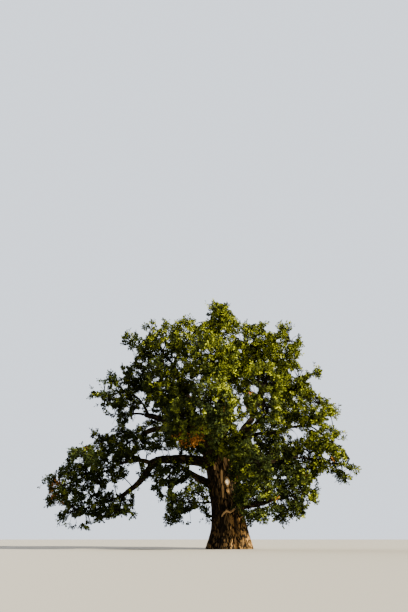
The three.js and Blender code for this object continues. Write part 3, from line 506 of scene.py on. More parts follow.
def scattered(cells, seed):
    """A seeded number from 0 to 1 for each cell of a lattice."""
    spots = cells.astype(np.int64).astype(np.uint64)
    mixed = np.bitwise_xor.reduce(spots * np.array(AXIS_FACTORS, np.uint64), axis=-1)
    mixed = (mixed ^ np.uint64(seed * SEED_FACTOR & WORD)) & np.uint64(WORD)
    for shift, factor in MIXING:
        mixed ^= mixed >> np.uint64(shift)
        mixed = (mixed * np.uint64(factor)) & np.uint64(WORD)
    mixed ^= mixed >> np.uint64(16)
    return mixed.astype(float) / WORD


def smooth_noise(points, seed):
    """Soft noise from -1 to 1, with features about one unit across."""
    cell = np.floor(points)
    part = points - cell
    part = part * part * (3 - 2 * part)
    total = np.zeros(points.shape[:-1])
    for corner in np.ndindex(2, 2, 2):
        weight = np.prod(np.where(corner, part, 1 - part), axis=-1)
        total += weight * scattered(cell + corner, seed)
    return 2 * total - 1


def cell_border(points, seed):
    """How far each point is from the border of its irregular cell: 0 on it, about 0.5 in the middle."""
    cell = np.floor(points)
    nearest = np.full(points.shape[:-1], FAR_OFF)
    second = nearest.copy()
    for step in np.ndindex(3, 3, 3):
        other = cell + (np.array(step) - 1)
        jitter = np.stack([scattered(other, seed + k) for k in range(3)], axis=-1)
        far = np.linalg.norm(other + jitter - points, axis=-1)
        second = np.minimum(second, np.maximum(nearest, far))
        nearest = np.minimum(nearest, far)
    return second - nearest


def smooth_step(low, high, values):
    """Rises smoothly from 0 at low to 1 at high."""
    share = np.clip((values - low) / (high - low), 0, 1)
    return share * share * (3 - 2 * share)


def bell(x):
    """A bell curve, 1 at its middle."""
    return np.exp(-x * x)


def unit(ways):
    return ways / np.maximum(np.linalg.norm(ways, axis=-1, keepdims=True), 1e-9)


# Centre lines

CROOK_LENGTH = 1.1  # metres from one crook of a bough to the next
# Points along a line: where the wood's places are kept, where a length is measured, and where a bough
# leaves the trunk.
WOOD_POINTS, LENGTH_POINTS, LEAVING_POINTS = 25, 40, 80


class Route:
    """A cubic line in space."""

    def __init__(self, *places):
        self.places = [np.array(place, float) for place in places]

    def at(self, share):
        t = np.asarray(share, float)[..., None]
        a, b, c, d = self.places
        return a * (1 - t) ** 3 + b * 3 * t * (1 - t) ** 2 + c * 3 * t * t * (1 - t) + d * t ** 3

    def way(self, share):
        t = np.asarray(share, float)[..., None]
        a, b, c, d = self.places
        return unit((b - a) * (1 - t) ** 2 + (c - b) * 2 * t * (1 - t) + (d - c) * t * t)


def trunk_route():
    right, back = TRUNK["lean"]
    height = TRUNK["height"]
    return Route(
        (0, 0, 0), (0, 0, height * TRUNK_UPRIGHT),
        (right * LEAN_SO_FAR, back * LEAN_SO_FAR, height * TRUNK_LEANING), (right, back, height))


def limb_route(limb, carrier):
    """A limb's centre line, from inside the limb or trunk that carries it to its tip."""
    foot, end = carrier.at(limb.at), np.array(limb.tip, float)
    run = end - foot
    left = unit(np.cross(UP, run))
    early = foot + run * LIMB_BENDS[0] + UP * limb.arch + left * limb.bend
    late = foot + run * LIMB_BENDS[1] + UP * (limb.arch * LATE_ARCH - limb.sag) + left * limb.bend * LATE_BEND
    return Route(foot, early, late, end)


def trunk_taper(share):
    """The trunk's mean radius, with its root flare."""
    waist, top = TRUNK["waist_radius"], TRUNK["top_radius"]
    flare = TRUNK["flare_radius"] * np.exp(-share * TRUNK["height"] / TRUNK["flare_height"])
    return waist + (top - waist) * share ** TRUNK["taper_power"] + flare


def limb_radius(name, share):
    """A bough's radius, with its collar."""
    foot, end = LIMBS[name].radii
    collar = 1 + COLLAR * bell(share / COLLAR_LENGTH)
    return (foot + (end - foot) * share ** LIMB_TAPER) * collar


def wander(route, shares, amount, seed, length):
    """The places on a route at some shares of it, led astray a little between its ends."""
    places = route.at(shares)
    way = route.way(shares)
    side = unit(np.cross(way, ASIDE_OF_BOUGH))
    over = np.cross(way, side)
    hold = np.sin(np.pi * shares) ** 0.5 * amount
    for axis, offset in ((side, 0), (over, 40)):
        turns = np.stack(
            [shares * length / CROOK_LENGTH + seed, np.full_like(shares, offset), shares * 0], axis=-1)
        places = places + axis * (hold * smooth_noise(turns, seed))[:, None]
    return places


@lru_cache(maxsize=None)
def routes():
    """The centre line of the trunk and of each limb."""
    found = {"trunk": trunk_route()}
    for name, limb in LIMBS.items():
        found[name] = limb_route(limb, found[limb.carrier])
    return found


# The spaces of the masses

def reach_along(reach, ways):
    """The half-width of a mass along some directions."""
    return 1 / np.linalg.norm(ways / np.array(reach), axis=-1)


def stem_route(name):
    """A mass's stem runs from inside its limb through the middle of the mass."""
    carrier, at, middle, reach = MASSES[name]
    middle = np.array(middle, float)
    line = routes()[carrier]
    foot = line.at(at)
    run = middle - foot
    ahead = unit(run)
    end = middle + ahead * reach_along(reach, ahead) * STEM_PAST
    leave = foot + line.way(at) * np.linalg.norm(run) * STEM_LEAVE
    return Route(foot, leave, foot + (middle - foot) * STEM_TURN, end)


def stem_radii(name, shares):
    """The radii of a mass's stem at some shares of it."""
    carrier, at = MASSES[name][:2]
    wide = STEM_ON_TRUNK / STEM_SHARE if carrier == "trunk" else limb_radius(carrier, np.float64(at))
    thick = min(wide * STEM_SHARE, STEM_THICKEST)
    return thick + (STEM_END - thick) * shares


@lru_cache(maxsize=None)
def wood_points():
    """Points along the trunk and the limbs, the radius there, and the name of what they are on."""
    shares = np.linspace(0, 1, WOOD_POINTS)
    line = routes()
    places = [line["trunk"].at(shares)]
    radii = [trunk_taper(shares)]
    owners = ["trunk"] * len(shares)
    for name in LIMBS:
        places.append(line[name].at(shares))
        radii.append(limb_radius(name, shares))
        owners += [name] * len(shares)
    for name in MASSES:
        places.append(stem_route(name).at(shares))
        radii.append(stem_radii(name, shares))
        owners += ["stem " + name] * len(shares)
    return np.concatenate(places), np.concatenate(radii), np.array(owners)


class Space:
    """The space that a mass keeps to: its reach, its neighbours' and the wood in it."""

    def __init__(self, name):
        middle, reach = MASSES[name][2:]
        self.middle, self.reach = np.array(middle, float), np.array(reach, float)
        self.ways, self.limits = [], []
        for other, (_, _, place, width) in MASSES.items():
            way = np.array(place, float) - self.middle
            apart = np.linalg.norm(way)
            if other == name or apart > max(reach) + max(width):
                continue
            mine = reach_along(reach, unit(way))
            self.ways.append(unit(way))
            self.limits.append(apart * mine / (mine + reach_along(width, unit(way))))
        places, radii, owners = wood_points()
        near = np.linalg.norm(places - self.middle, axis=1) < max(reach) + 4 * LIMB_ROOM + radii
        near &= owners != "stem " + name
        self.wood, self.radii = places[near], radii[near]

    def keeps(self, points, spill=0.0, over=-NEIGHBOUR_ROOM, clear=LIMB_ROOM):
        """Which points lie in the space, spilling past its reach and over its borders by so much."""
        offset = points - self.middle
        fine = np.linalg.norm(offset / (self.reach + spill), axis=-1) <= 1
        fine &= points[..., 2] > LOWEST_LEAF
        for way, limit in zip(self.ways, self.limits):
            fine &= offset @ way <= limit + over
        if len(self.wood):
            apart = np.linalg.norm(points[..., None, :] - self.wood, axis=-1)
            fine &= (apart > self.radii + clear).all(axis=-1)
        return fine


def seen_at(points):
    """Where points are seen from the eye, on the plane through the trunk."""
    eye = np.array(EYE)
    nearer = -eye[1] / (points[..., 1] - eye[1])
    across = eye[0] + (points[..., 0] - eye[0]) * nearer
    up = eye[2] + (points[..., 2] - eye[2]) * nearer
    return across, up


def in_gap(points):
    """Which points stand between the eye and the sky or the wood that shows through the crown."""
    across, up = seen_at(points)
    flat = np.stack([across, up * 0, up], axis=-1)
    ragged = sum(GAP_RAGGED * smooth_noise(flat / size, seed) for size, seed in GAP_RAGS)

    def apart(x, z, long, short, turn):
        """How far out points are, squared, where the gap's edge is 1."""
        c, s = math.cos(math.radians(turn)), math.sin(math.radians(turn))
        along = (across - x) * c + (up - z) * s
        aside = (up - z) * c - (across - x) * s
        return (along / long) ** 2 + (aside / short) ** 2

    nearest = np.full(points.shape[:-1], FAR_OFF)
    for gap in GAPS:
        nearest = np.minimum(nearest, apart(*gap))
    found = nearest + ragged < GAP_SHARE
    for *clearing, back in CLEARINGS:
        found |= (apart(*clearing) + ragged < GAP_SHARE) & (points[..., 1] < back)
    share = SPECKS + (SPECKS_LEFT - SPECKS) * smooth_step(LEFT_FROM, LEFT_FULL, across)
    share = share + GAP_LACE * np.clip(1 - (nearest - GAP_SHARE) / GAP_LACE_WIDTH, 0, 1)
    fleck = smooth_noise(flat / SPECK_SIZE, SPECK_SEED)
    return found | (fleck > SPECK_TOP - SPECK_SLOPE * share)


# Growth

# Branchlets: how many more or fewer than the room of each gives, in the dense masses of the front and in
# the open ones and those at the back; how far their ways stray; which share of them ends near the surface,
# between which depths those and the others end, and how far short of it, as a share of a spray's length.
FULLER, THINNER = 1.1, 0.9
BRANCHLET_STRAY = 0.16
OUTER_SHARE, OUTER_DEPTHS, INNER_DEPTHS = 0.72, (0.82, 1), (0.3, 0.8)
BRANCHLET_INSET = 0.55
# Where they leave the stem and twigs, how many such places there are, the length that they keep near,
# how strongly, how far they rise as a share of their length, and into how many steps they are cut.
FEET_FROM, FEET_PLACES = 0.35, 12
BRANCHLET_LENGTH, LENGTH_PULL = 0.7, 0.6
RISE, SHORT_RISE, TWIG_RISE = 0.12, 0.08, 0.06
BRANCHLET_STEPS, TWIG_STEPS = 2, 5
# How far each kind may spill past its mass and over its borders, and how far off the wood it stays.
BRANCHLET_ROOM = {"over": 0.05, "clear": 0.12}
SPRAY_ROOM = {"spill": -0.12, "over": 0.14, "clear": 0.06}
LEAF_ROOM = {"spill": -0.06, "over": 0.2, "clear": 0.03}
OFF_WOOD, LEAF_OFF_WOOD = 0.04, 0.02
# Sprays: where the first leaves its branchlet, how unevenly they are spaced, how strongly each follows the
# branchlet, faces outward and goes its own way, how much it is lifted, everywhere and on a mass's crest,
# and its least and greatest length as shares of the mean.
SPRAY_FIRST, SPRAY_UNEVEN = 0.45, 0.06
SPRAY_AHEAD, SPRAY_OUTWARD, SPRAY_OWN_WAY = 0.5, 0.4, 0.95
SPRAY_LIFT, CREST_LIFT, CREST_LONGER = 0.15, 0.5, 0.3
SPRAY_LENGTHS = (0.6, 1.35)
# Leaves: where the first is on its spray, how they crowd towards the tip, the share past which one is at
# the tip, how far those at the tip and the others lean out, in radians, how strongly their upper sides
# face up, outward and any way, their lengths as shares of the mean, and where a leaf's middle is.
LEAF_FIRST, LEAF_CROWDING, AT_TIP = 0.2, 0.8, 0.97
TIP_LEANS, SIDE_LEANS = (0.1, 0.6), (0.7, 1.45)
FACE_UP, FACE_OUTWARD, FACE_ANY = 0.7, 0.5, 0.75
LEAF_LENGTHS, LEAF_MIDDLE = (0.7, 1.3), 0.6
FULL_TURN = 6.28
# Sprigs: how strongly they follow the limb and rise, how deep in it they are rooted and their lengths.
SPRIG_AHEAD, SPRIG_UP, SPRIG_ROOT, SPRIG_LENGTHS = 0.35, 0.3, 0.85, (0.35, 1)
# Tufts: the fewest branchlets, the room of each, which grows with the radius, how far their ways stray,
# how far inside the radius they end, and which part of the stalk they leave.
TUFT_FEWEST, TUFT_ROOM, TUFT_ROOM_GROWS, TUFT_STRAY = 3, 0.2, 0.3, 0.3
TUFT_INSET, TUFT_LEAST, TUFT_DEPTHS, TUFT_FEET = 0.24, 0.04, (0.6, 1), (0.55, 0.95)
TUFT_ON_TWIG = (0.5, 1, 6)  # the part of a twig that a stalk may grow from, and its places
# Seeds of the mass growth's lumps, of the sprigs, tufts and tints, and of the leaves' tones.
LUMP_SEED, SPRIG_SEED, TUFT_SEED, TINT_SEED, TONE_SEED = 19, 17, 29, 7, 23


def mass_seed(name):
    """The seed of a mass's growth, as in the solids."""
    return 101 * (1 + list(MASSES).index(name))


def even_ways(count):
    """Even directions over a sphere."""
    i = np.arange(count)
    z = 1 - 2 * (i + 0.5) / count
    round_it = np.sqrt(1 - z * z)
    return np.stack([round_it * np.cos(i * GOLDEN_ANGLE), round_it * np.sin(i * GOLDEN_ANGLE), z], axis=1)


def surface_of(reach):
    """The surface of a mass's ellipsoid, by Thomsen's formula."""
    power = 1.6
    a, b, c = reach
    pairs = (a * b) ** power + (b * c) ** power + (a * c) ** power
    return 4 * math.pi * (pairs / 3) ** (1 / power)


def main_twigs(name, space, stem):
    """The twigs that the solids have too: their feet on the stem and their ends."""
    draw = seeded(mass_seed(name))
    count = max(TWIG_FEWEST, math.floor(surface_of(space.reach) / TWIG_ROOM + 0.5))
    length = min(max(SPRAY_SHARE * np.cbrt(space.reach.prod()), SPRAY_SHORTEST), SPRAY_LONGEST)
    stray = np.array([[draw() - 0.5 for _ in range(3)] for _ in range(count)])
    ways = unit(even_ways(count) + stray * TWIG_STRAY)
    ways = ways[np.argsort(ways @ stem.way(1.0), kind="stable")]
    feet = stem.at(np.linspace(*TWIG_FEET, count))
    found = []
    for foot, way in zip(feet, ways):
        reach = reach_along(space.reach, way)
        full = reach * max(TWIG_SHORTEST, 1 - TWIG_INSET * length / reach)
        for share in PULL_IN:
            end = space.middle + way * full * share
            outer = foot + (end - foot) * TWIG_OUTER[:, None]
            if space.keeps(outer).all():
                found.append((foot, end))
                break
    return found


def curved(feet, ends, rise, steps=BRANCHLET_STEPS):
    """Lines of a few points from feet to ends that rise between them by a share of their length."""
    shares = np.linspace(0, 1, steps + 1)[None, :, None]
    lines = feet[:, None] + (ends - feet)[:, None] * shares
    height = rise * np.linalg.norm(ends - feet, axis=1)
    lines[..., 2] += np.sin(np.pi * shares[..., 0]) * height[:, None]
    return lines


def spread_sprays(branchlets, outward, habit, chance, fits):
    """Sprays that leave the outer part of some branchlets: their feet, ends and outward ways."""
    each = habit.sprays
    owner = np.repeat(np.arange(len(branchlets)), each)
    along = np.tile(np.linspace(SPRAY_FIRST, 1, each), len(branchlets))
    along -= chance.uniform(0, SPRAY_UNEVEN, len(owner))
    steps = branchlets.shape[1] - 1
    step = np.clip(along * steps, 0, steps - 0.001)
    low = step.astype(int)
    feet = branchlets[owner, low]
    feet = feet + (branchlets[owner, low + 1] - feet) * (step - low)[:, None]
    ahead = unit(branchlets[:, -1] - branchlets[:, 0])[owner]
    away = outward[owner]
    crest = np.clip(away[:, 2:], 0, 1)
    # Sprays on top of a mass stand up and are longer, so that the crown ends in pointed tufts.
    lift = UP * (SPRAY_LIFT + CREST_LIFT * crest)
    own_way = unit(chance.normal(0, 1, (len(owner), 3)))
    way = unit(ahead * SPRAY_AHEAD + away * SPRAY_OUTWARD + lift + own_way * SPRAY_OWN_WAY)
    size = habit.spray_length * chance.uniform(*SPRAY_LENGTHS, len(owner)) * (1 + CREST_LONGER * crest[:, 0])
    ends = feet + way * size[:, None]
    good = fits(ends) & ~in_gap(ends)
    return feet[good], ends[good], away[good], owner[good]


def hang_leaves(sprays, habit, chance, fits):
    """Leaves round the outer part of each spray, most of them at its tip: where each is rooted, which
    way it points, across and up from it, its length and its spray."""
    feet, ends, away = sprays
    many = habit.leaves
    way = unit(ends - feet)
    spray = np.repeat(np.arange(len(ends)), many)
    place = np.tile(np.linspace(LEAF_FIRST, 1.0, many) ** LEAF_CROWDING, len(ends))
    root = feet[spray] + (ends - feet)[spray] * place[:, None]
    tip_lean, side_lean = (chance.uniform(*leans, len(spray)) for leans in (TIP_LEANS, SIDE_LEANS))
    lean = np.where(place > AT_TIP, tip_lean, side_lean)
    side = unit(np.cross(way, ASIDE_OF_SPRAY))[spray]
    over = np.cross(way[spray], side)
    turn = np.tile(np.arange(many) * GOLDEN_ANGLE, len(ends))
    turn += np.repeat(chance.uniform(0, FULL_TURN, len(ends)), many)
    around = side * np.cos(turn)[:, None] + over * np.sin(turn)[:, None]
    leaf_way = unit(way[spray] * np.cos(lean)[:, None] + around * np.sin(lean)[:, None])
    face = UP * FACE_UP + away[spray] * FACE_OUTWARD + chance.normal(0, FACE_ANY, (len(spray), 3))
    broad = unit(np.cross(face, leaf_way))
    face = np.cross(leaf_way, broad)
    size = habit.leaf_length * chance.uniform(*LEAF_LENGTHS, len(spray))
    middle = root + leaf_way * (size * LEAF_MIDDLE)[:, None]
    good = fits(middle) & ~in_gap(middle)
    return root[good], leaf_way[good], broad[good], face[good], size[good], spray[good]


def grow(name, habit):
    """A mass's branchlets, sprays and leaves."""
    chance = np.random.default_rng(mass_seed(name))
    space = Space(name)
    stem = stem_route(name)
    twigs = main_twigs(name, space, stem)
    # Branchlets end at even places over the mass, most of them near its lumpy surface.
    fullness = THINNER if name in OPEN or name.startswith("back") else FULLER
    count = round(surface_of(space.reach) / habit.branchlet_room * fullness)
    ways = unit(even_ways(count) + chance.normal(0, BRANCHLET_STRAY, (count, 3)))
    outer = chance.random(count) < OUTER_SHARE
    depth = np.where(outer, chance.uniform(*OUTER_DEPTHS, count), chance.uniform(*INNER_DEPTHS, count))
    reach = reach_along(space.reach, ways)
    lumps = smooth_noise((space.middle + ways * reach[:, None]) / LUMP_SIZE, LUMP_SEED)
    full = (reach * (1 - LUMPS * (0.5 + 0.5 * lumps)) - habit.spray_length * BRANCHLET_INSET) * depth
    ends = np.zeros((count, 3))
    placed = np.zeros(count, bool)
    for share in PULL_IN:
        tries = space.middle + ways * (full * share)[:, None]
        fits = ~placed & space.keeps(tries, **BRANCHLET_ROOM) & ~in_gap(tries)
        ends[fits] = tries[fits]
        placed |= fits
    ends = ends[placed]
    shares = np.linspace(FEET_FROM, 1, FEET_PLACES)
    carriers = [stem.at(shares)] + [foot + (end - foot) * shares[:, None] for foot, end in twigs]
    carriers = np.concatenate(carriers)
    apart = np.linalg.norm(ends[:, None] - carriers, axis=2)
    feet = carriers[np.argmin(apart + LENGTH_PULL * np.abs(apart - BRANCHLET_LENGTH), axis=1)]
    grown = leafed(
        curved(feet, ends, RISE), unit(ends - space.middle), habit, chance,
        lambda points: space.keeps(points, **SPRAY_ROOM), lambda points: space.keeps(points, **LEAF_ROOM))
    return {"stem": stem, "twigs": twigs, **grown}


def inside_crown(points):
    """Which points lie in or near some mass, or in the heart of the crown."""
    middle, half = CROWN_HEART
    found = np.linalg.norm((points - np.array(middle)) / np.array(half), axis=1) < 1
    for _, _, middle, reach in MASSES.values():
        found |= np.linalg.norm((points - np.array(middle)) / (np.array(reach) + SPRIG_STRAY), axis=1) < 1
    return found


def grow_sprigs(habit):
    """Leafy sprigs along the limbs and round the top of the trunk, which fill the crown between masses."""
    chance = np.random.default_rng(SPRIG_SEED)
    feet, ends, away = [], [], []
    for name in ("trunk", *LIMBS):
        each, longest, first = SPRIGS.get(name, SPRIGS["other"])
        route = routes()[name]
        length = np.linalg.norm(route.at(1.0) - route.at(first))
        count = round(each * length)
        shares = first + (1 - first) * (np.arange(count) + chance.random(count)) / count
        way = route.way(shares)
        out = chance.normal(0, 1, (count, 3))
        out = unit(out - way * (out * way).sum(axis=1, keepdims=True))
        aim = unit(out + way * SPRIG_AHEAD + UP * SPRIG_UP)
        wide = TRUNK["top_radius"] if name == "trunk" else limb_radius(name, shares)
        foot = route.at(shares) + out * (wide * np.ones(count))[:, None] * SPRIG_ROOT
        feet.append(foot)
        ends.append(foot + aim * (chance.uniform(*SPRIG_LENGTHS, count) * longest)[:, None])
        away.append(aim)
    feet, ends, away = (np.concatenate(part) for part in (feet, ends, away))
    good = clear_of_wood(ends)
    branchlets = curved(feet[good], ends[good], SHORT_RISE)
    return leafed(branchlets, away[good], habit, chance, clear_of_wood, leaf_clear_of_wood)


def clear_of_wood(points, clear=OFF_WOOD):
    """Which points lie in the crown, above the lowest leaf and off the wood."""
    good = inside_crown(points) & (points[:, 2] > LOWEST_LEAF)
    for place, radius in zip(*wood_points()[:2]):
        good &= np.linalg.norm(points - place, axis=1) > radius + clear
    return good


def leaf_clear_of_wood(points):
    """As clear_of_wood, for leaves, which may be nearer."""
    return clear_of_wood(points, LEAF_OFF_WOOD)


def grow_tufts(masses, habit):
    """The small tufts, each on a twig from the nearest wood."""
    chance = np.random.default_rng(TUFT_SEED)
    shares = np.linspace(*TUFT_ON_TWIG)[:, None]
    twigs = [foot + (end - foot) * shares for grown in masses for foot, end in grown["twigs"]]
    wood = np.concatenate([wood_points()[0], *twigs])
    eye = np.array(EYE)
    feet, ends, away, stalks = [], [], [], []
    for x, z, back, radius in TUFTS:
        middle = eye + (np.array((x, 0, z)) - eye) * (back - eye[1]) / -eye[1]
        foot = wood[np.argmin(np.linalg.norm(wood - middle, axis=1))]
        stalks.append((foot, middle))
        room = TUFT_ROOM + TUFT_ROOM_GROWS * radius
        count = max(TUFT_FEWEST, round(surface_of((radius,) * 3) / room))
        ways = unit(even_ways(count) + chance.normal(0, TUFT_STRAY, (count, 3)))
        reach = max(TUFT_LEAST, radius - TUFT_INSET)
        ends.append(middle + ways * reach * chance.uniform(*TUFT_DEPTHS, (count, 1)))
        feet.append(foot + (middle - foot) * chance.uniform(*TUFT_FEET, (count, 1)))
        away.append(ways)
    feet, ends, away = (np.concatenate(part) for part in (feet, ends, away))
    branchlets = curved(feet, ends, SHORT_RISE)
    return {"twigs": stalks, **leafed(branchlets, away, habit, chance, clear_of_wood, leaf_clear_of_wood)}


def leafed(branchlets, outward, habit, chance, spray_fits, leaf_fits):
    """Some branchlets with their sprays and leaves."""
    feet, ends, away, owner = spread_sprays(branchlets, outward, habit, chance, spray_fits)
    leaves = hang_leaves((feet, ends, away), habit, chance, leaf_fits)
    grown = {"branchlets": branchlets, "owner": owner, "sprays": (feet, ends, away), "leaves": leaves}
    return thinned(grown, np.bincount(leaves[5], minlength=len(ends)) >= FEWEST_LEAVES)


def thinned(grown, kept):
    """A part of the crown without the sprays that aren't kept and the twigs that end up bare."""
    leaves, owner = grown["leaves"], grown["owner"][kept]
    hung = kept[leaves[5]]
    carrying = np.isin(np.arange(len(grown["branchlets"])), owner)
    return {
        **grown,
        "branchlets": grown["branchlets"][carrying],
        "owner": (np.cumsum(carrying) - 1)[owner],
        "sprays": tuple(column[kept] for column in grown["sprays"]),
        "leaves": (*(column[hung] for column in leaves[:5]), (np.cumsum(kept) - 1)[leaves[5][hung]]),
    }


def company(points):
    """How many points lie in the same cell as each one or in a cell beside it."""
    stride = np.array((1, 1 << 16, 1 << 32))  # makes one number of a cell's three
    own = (np.floor(points / STRAY_ROOM).astype(np.int64) + (1 << 15)) @ stride
    cells, many = np.unique(own, return_counts=True)
    total = np.zeros(len(points), int)
    for step in np.ndindex(3, 3, 3):
        other = own + (np.array(step) - 1) @ stride
        place = np.searchsorted(cells, other).clip(0, len(cells) - 1)
        total += np.where(cells[place] == other, many[place], 0)
    return total


@lru_cache(maxsize=None)
def crown():
    """Every mass, the sprigs between them and the small tufts, grown once, without stray sprays."""
    habit = bpy.context.scene.oak_leaves
    parts = {name: grow(name, habit) for name in MASSES}
    parts["tufts"] = grow_tufts(list(parts.values()), habit)
    parts["sprigs"] = grow_sprigs(habit)
    near = company(np.concatenate([grown["sprays"][1] for grown in parts.values()]))
    starts = np.cumsum([len(grown["sprays"][1]) for grown in parts.values()])[:-1]
    return {name: thinned(grown, many >= FEWEST_SPRAYS)
            for (name, grown), many in zip(parts.items(), np.split(near, starts))}


def tint_of(spray_ends, outward):
    """The tint of each spray, by how much light it gets, by patches and by chance."""
    chance = np.random.default_rng(TINT_SEED)
    sun = unit(np.array(SUN_FROM))
    facing = FACING_CROWN * (unit(spray_ends - np.array(CROWN_MIDDLE)) @ sun) + FACING_SELF * (outward @ sun)
    height = smooth_step(DIM_BELOW, BRIGHT_ABOVE, spray_ends[:, 2]) - 0.5
    far_left = smooth_step(FAR_LEFT_FROM, FAR_LEFT_FULL, spray_ends[:, 0])
    lit = LIT_EVERYWHERE + LIT_FACING * facing + LIT_HEIGHT * height + LIT_FAR_LEFT * far_left
    for strength, size, seed in (LIT_BROAD, LIT_FINE):
        lit = lit + strength * smooth_noise(spray_ends / size, seed)
    across, up = seen_at(spray_ends)
    for (x, z), radius, darker in SHADED:
        lit -= darker * bell(np.hypot(across - x, up - z) / radius)
    lit = np.clip(lit, 0, 1)
    names = list(TINTS)
    shade = np.array([TINTS[n]["shade"] for n in names])
    light = np.array([TINTS[n]["lit"] for n in names])
    weights = shade + (light - shade) * lit[:, None]
    for place, radius in TURNED:
        close = bell(np.linalg.norm(spray_ends - np.array(place), axis=1) / radius)
        weights[:, names.index("russet")] += TURNING * close ** 2
    weights /= weights.sum(axis=1, keepdims=True)
    pick = chance.random(len(spray_ends))[:, None]
    return (np.cumsum(weights, axis=1) < pick).sum(axis=1).clip(0, len(names) - 1)


# Meshes

def piece_of(name, mesh, material, nodes):
    """A finished piece: it rides on the tree's one body and stands for the solids named."""
    mesh.materials.append(material)
    piece = bpy.data.objects.new(name, mesh)
    bpy.context.scene.collection.objects.link(piece)
    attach(piece, "root")
    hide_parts(*nodes)


def array_mesh(name, places, faces, smooth):
    """A joined mesh from an array of places and an array of faces with the same number of corners."""
    mesh = bpy.data.meshes.new(name)
    mesh.vertices.add(len(places))
    mesh.vertices.foreach_set("co", places.astype(np.float32).ravel())
    corners = faces.shape[1]
    mesh.loops.add(faces.size)
    mesh.loops.foreach_set("vertex_index", faces.astype(np.int32).ravel())
    mesh.polygons.add(len(faces))
    mesh.polygons.foreach_set("loop_start", np.arange(0, faces.size, corners, dtype=np.int32))
    mesh.polygons.foreach_set("use_smooth", np.full(len(faces), smooth))
    mesh.update(calc_edges=True)
    return mesh


def carry(mesh, name, values):
    """Gives a mesh a number at each of its corners, for its material to read."""
    mesh.attributes.new(name, "FLOAT", "POINT").data.foreach_set("value", values.astype(np.float32))


def rods(lines, radii, sides=3):
    """Open tubes round many lines with the same number of points, as places and four-cornered faces."""
    many, points = lines.shape[:2]
    radii = np.broadcast_to(radii, (many, points))
    way = unit(np.gradient(lines, axis=1))
    across = unit(np.cross(way, ASIDE_OF_ROD))
    over = np.cross(way, across)
    turn = np.arange(sides) * 2 * np.pi / sides
    ring = across[:, :, None] * np.cos(turn)[:, None] + over[:, :, None] * np.sin(turn)[:, None]
    places = lines[:, :, None] + ring * radii[:, :, None, None]
    index = np.arange(many * points * sides).reshape(many, points, sides)
    following = np.roll(index, -1, axis=2)
    faces = np.stack([index[:, :-1], following[:, :-1], following[:, 1:], index[:, 1:]], axis=-1)
    return places.reshape(-1, 3), faces.reshape(-1, 4)


def joined(parts):
    """Several places-and-faces pairs as one."""
    places, faces, start = [], [], 0
    for part_places, part_faces in parts:
        places.append(part_places)
        faces.append(part_faces + start)
        start += len(part_places)
    return np.concatenate(places), np.concatenate(faces)


def ring_axes(line):
    """Two axes across a line at each of its points, turned no more than the line is."""
    way = unit(np.gradient(line, axis=0))
    axes = []
    across = np.array((1.0, 0, 0))
    for along in way:
        across = unit(across - along * (across @ along))
        axes.append(across)
    axes = np.array(axes)
    return axes, np.cross(way, axes)


# Bark: how many times a plate is longer than wide, how far its borders swirl as a share of it, where a
# furrow's wall begins and ends as shares of a plate, the part of the relief that is roughness, and the
# share of the relief that lies below the smooth surface. Then the sizes of the swirl and of the roughness,
# across and along the limb, in plates.
PLATE_LENGTH, PLATE_SWIRL, FURROW_WALL, BARK_ROUGH, BARK_SUNK = 6.0, 0.55, (0.03, 0.34), 0.15, 0.75
SWIRL_SIZE, ROUGH_WIDTH, ROUGH_LENGTH = 3, 0.4, 0.8
NEARLY_SHUT = 0.998  # how far the last ring of a rounded end is drawn in
SEAM = 1e-5  # corners nearer than this to each other are one


def bark_relief(places, plate, depth, seed):
    """How far the bark stands out at places whose third part runs along the limb, and its height share."""
    swirl = np.stack(
        [smooth_noise(places / (plate * SWIRL_SIZE) + k * 17, seed + k) for k in range(3)], axis=-1)
    stretched = (places + swirl * plate * PLATE_SWIRL) / np.array((plate, plate, plate * PLATE_LENGTH))
    plates = smooth_step(*FURROW_WALL, cell_border(stretched, seed))
    rough = np.array((plate * ROUGH_WIDTH, plate * ROUGH_WIDTH, plate * ROUGH_LENGTH))
    rough = smooth_noise(places / rough, seed + 9)
    height = np.clip(plates * (1 - BARK_ROUGH) + BARK_ROUGH * rough, 0, 1)
    return depth * (height - BARK_SUNK), height


def bark_tube(name, line, radius_at, columns, plate, depth, seed, shut_top=0.0):
    """A tube of bark rolled from a grid along a line. radius_at gives the smooth radius at a share of
    the line and a bearing in radians. shut_top rounds the top off over that share of the rows."""
    rows = len(line) - 1
    grid = bmesh.new()
    bmesh.ops.create_grid(grid, x_segments=columns, y_segments=rows, size=1)
    flat = np.array([v.co for v in grid.verts])
    turn = np.rint((flat[:, 0] + 1) / 2 * columns).astype(int) % columns * (2 * np.pi / columns)
    row = np.rint((flat[:, 1] + 1) / 2 * rows).astype(int)
    share = row / rows
    across, over = ring_axes(line)
    length = np.concatenate([[0], np.cumsum(np.linalg.norm(np.diff(line, axis=0), axis=1))])
    radius = radius_at(share, turn)
    rolled = np.stack([radius * np.cos(turn), radius * np.sin(turn), length[row]], axis=1)
    out, height = bark_relief(rolled, plate, depth, seed)
    radius = radius + out
    if shut_top:
        left = np.clip((1 - share) / shut_top, 0, 1)
        radius = radius * np.sqrt(1 - (1 - left) ** 2 * NEARLY_SHUT)
    ring = across[row] * np.cos(turn)[:, None] + over[row] * np.sin(turn)[:, None]
    places = line[row] + ring * radius[:, None]
    ridge = grid.verts.layers.float.new("ridge")
    for vertex, place, value in zip(grid.verts, places, height):
        vertex.co = place
        vertex[ridge] = value
    bmesh.ops.remove_doubles(grid, verts=grid.verts, dist=SEAM)
    bmesh.ops.holes_fill(grid, edges=[e for e in grid.edges if e.is_boundary], sides=0)
    bmesh.ops.recalc_face_normals(grid, faces=grid.faces)
    for face in grid.faces:
        face.smooth = len(face.verts) <= 4  # The flat ends have many corners.
    mesh = bpy.data.meshes.new(name)
    grid.to_mesh(mesh)
    grid.free()
    return mesh


# Materials

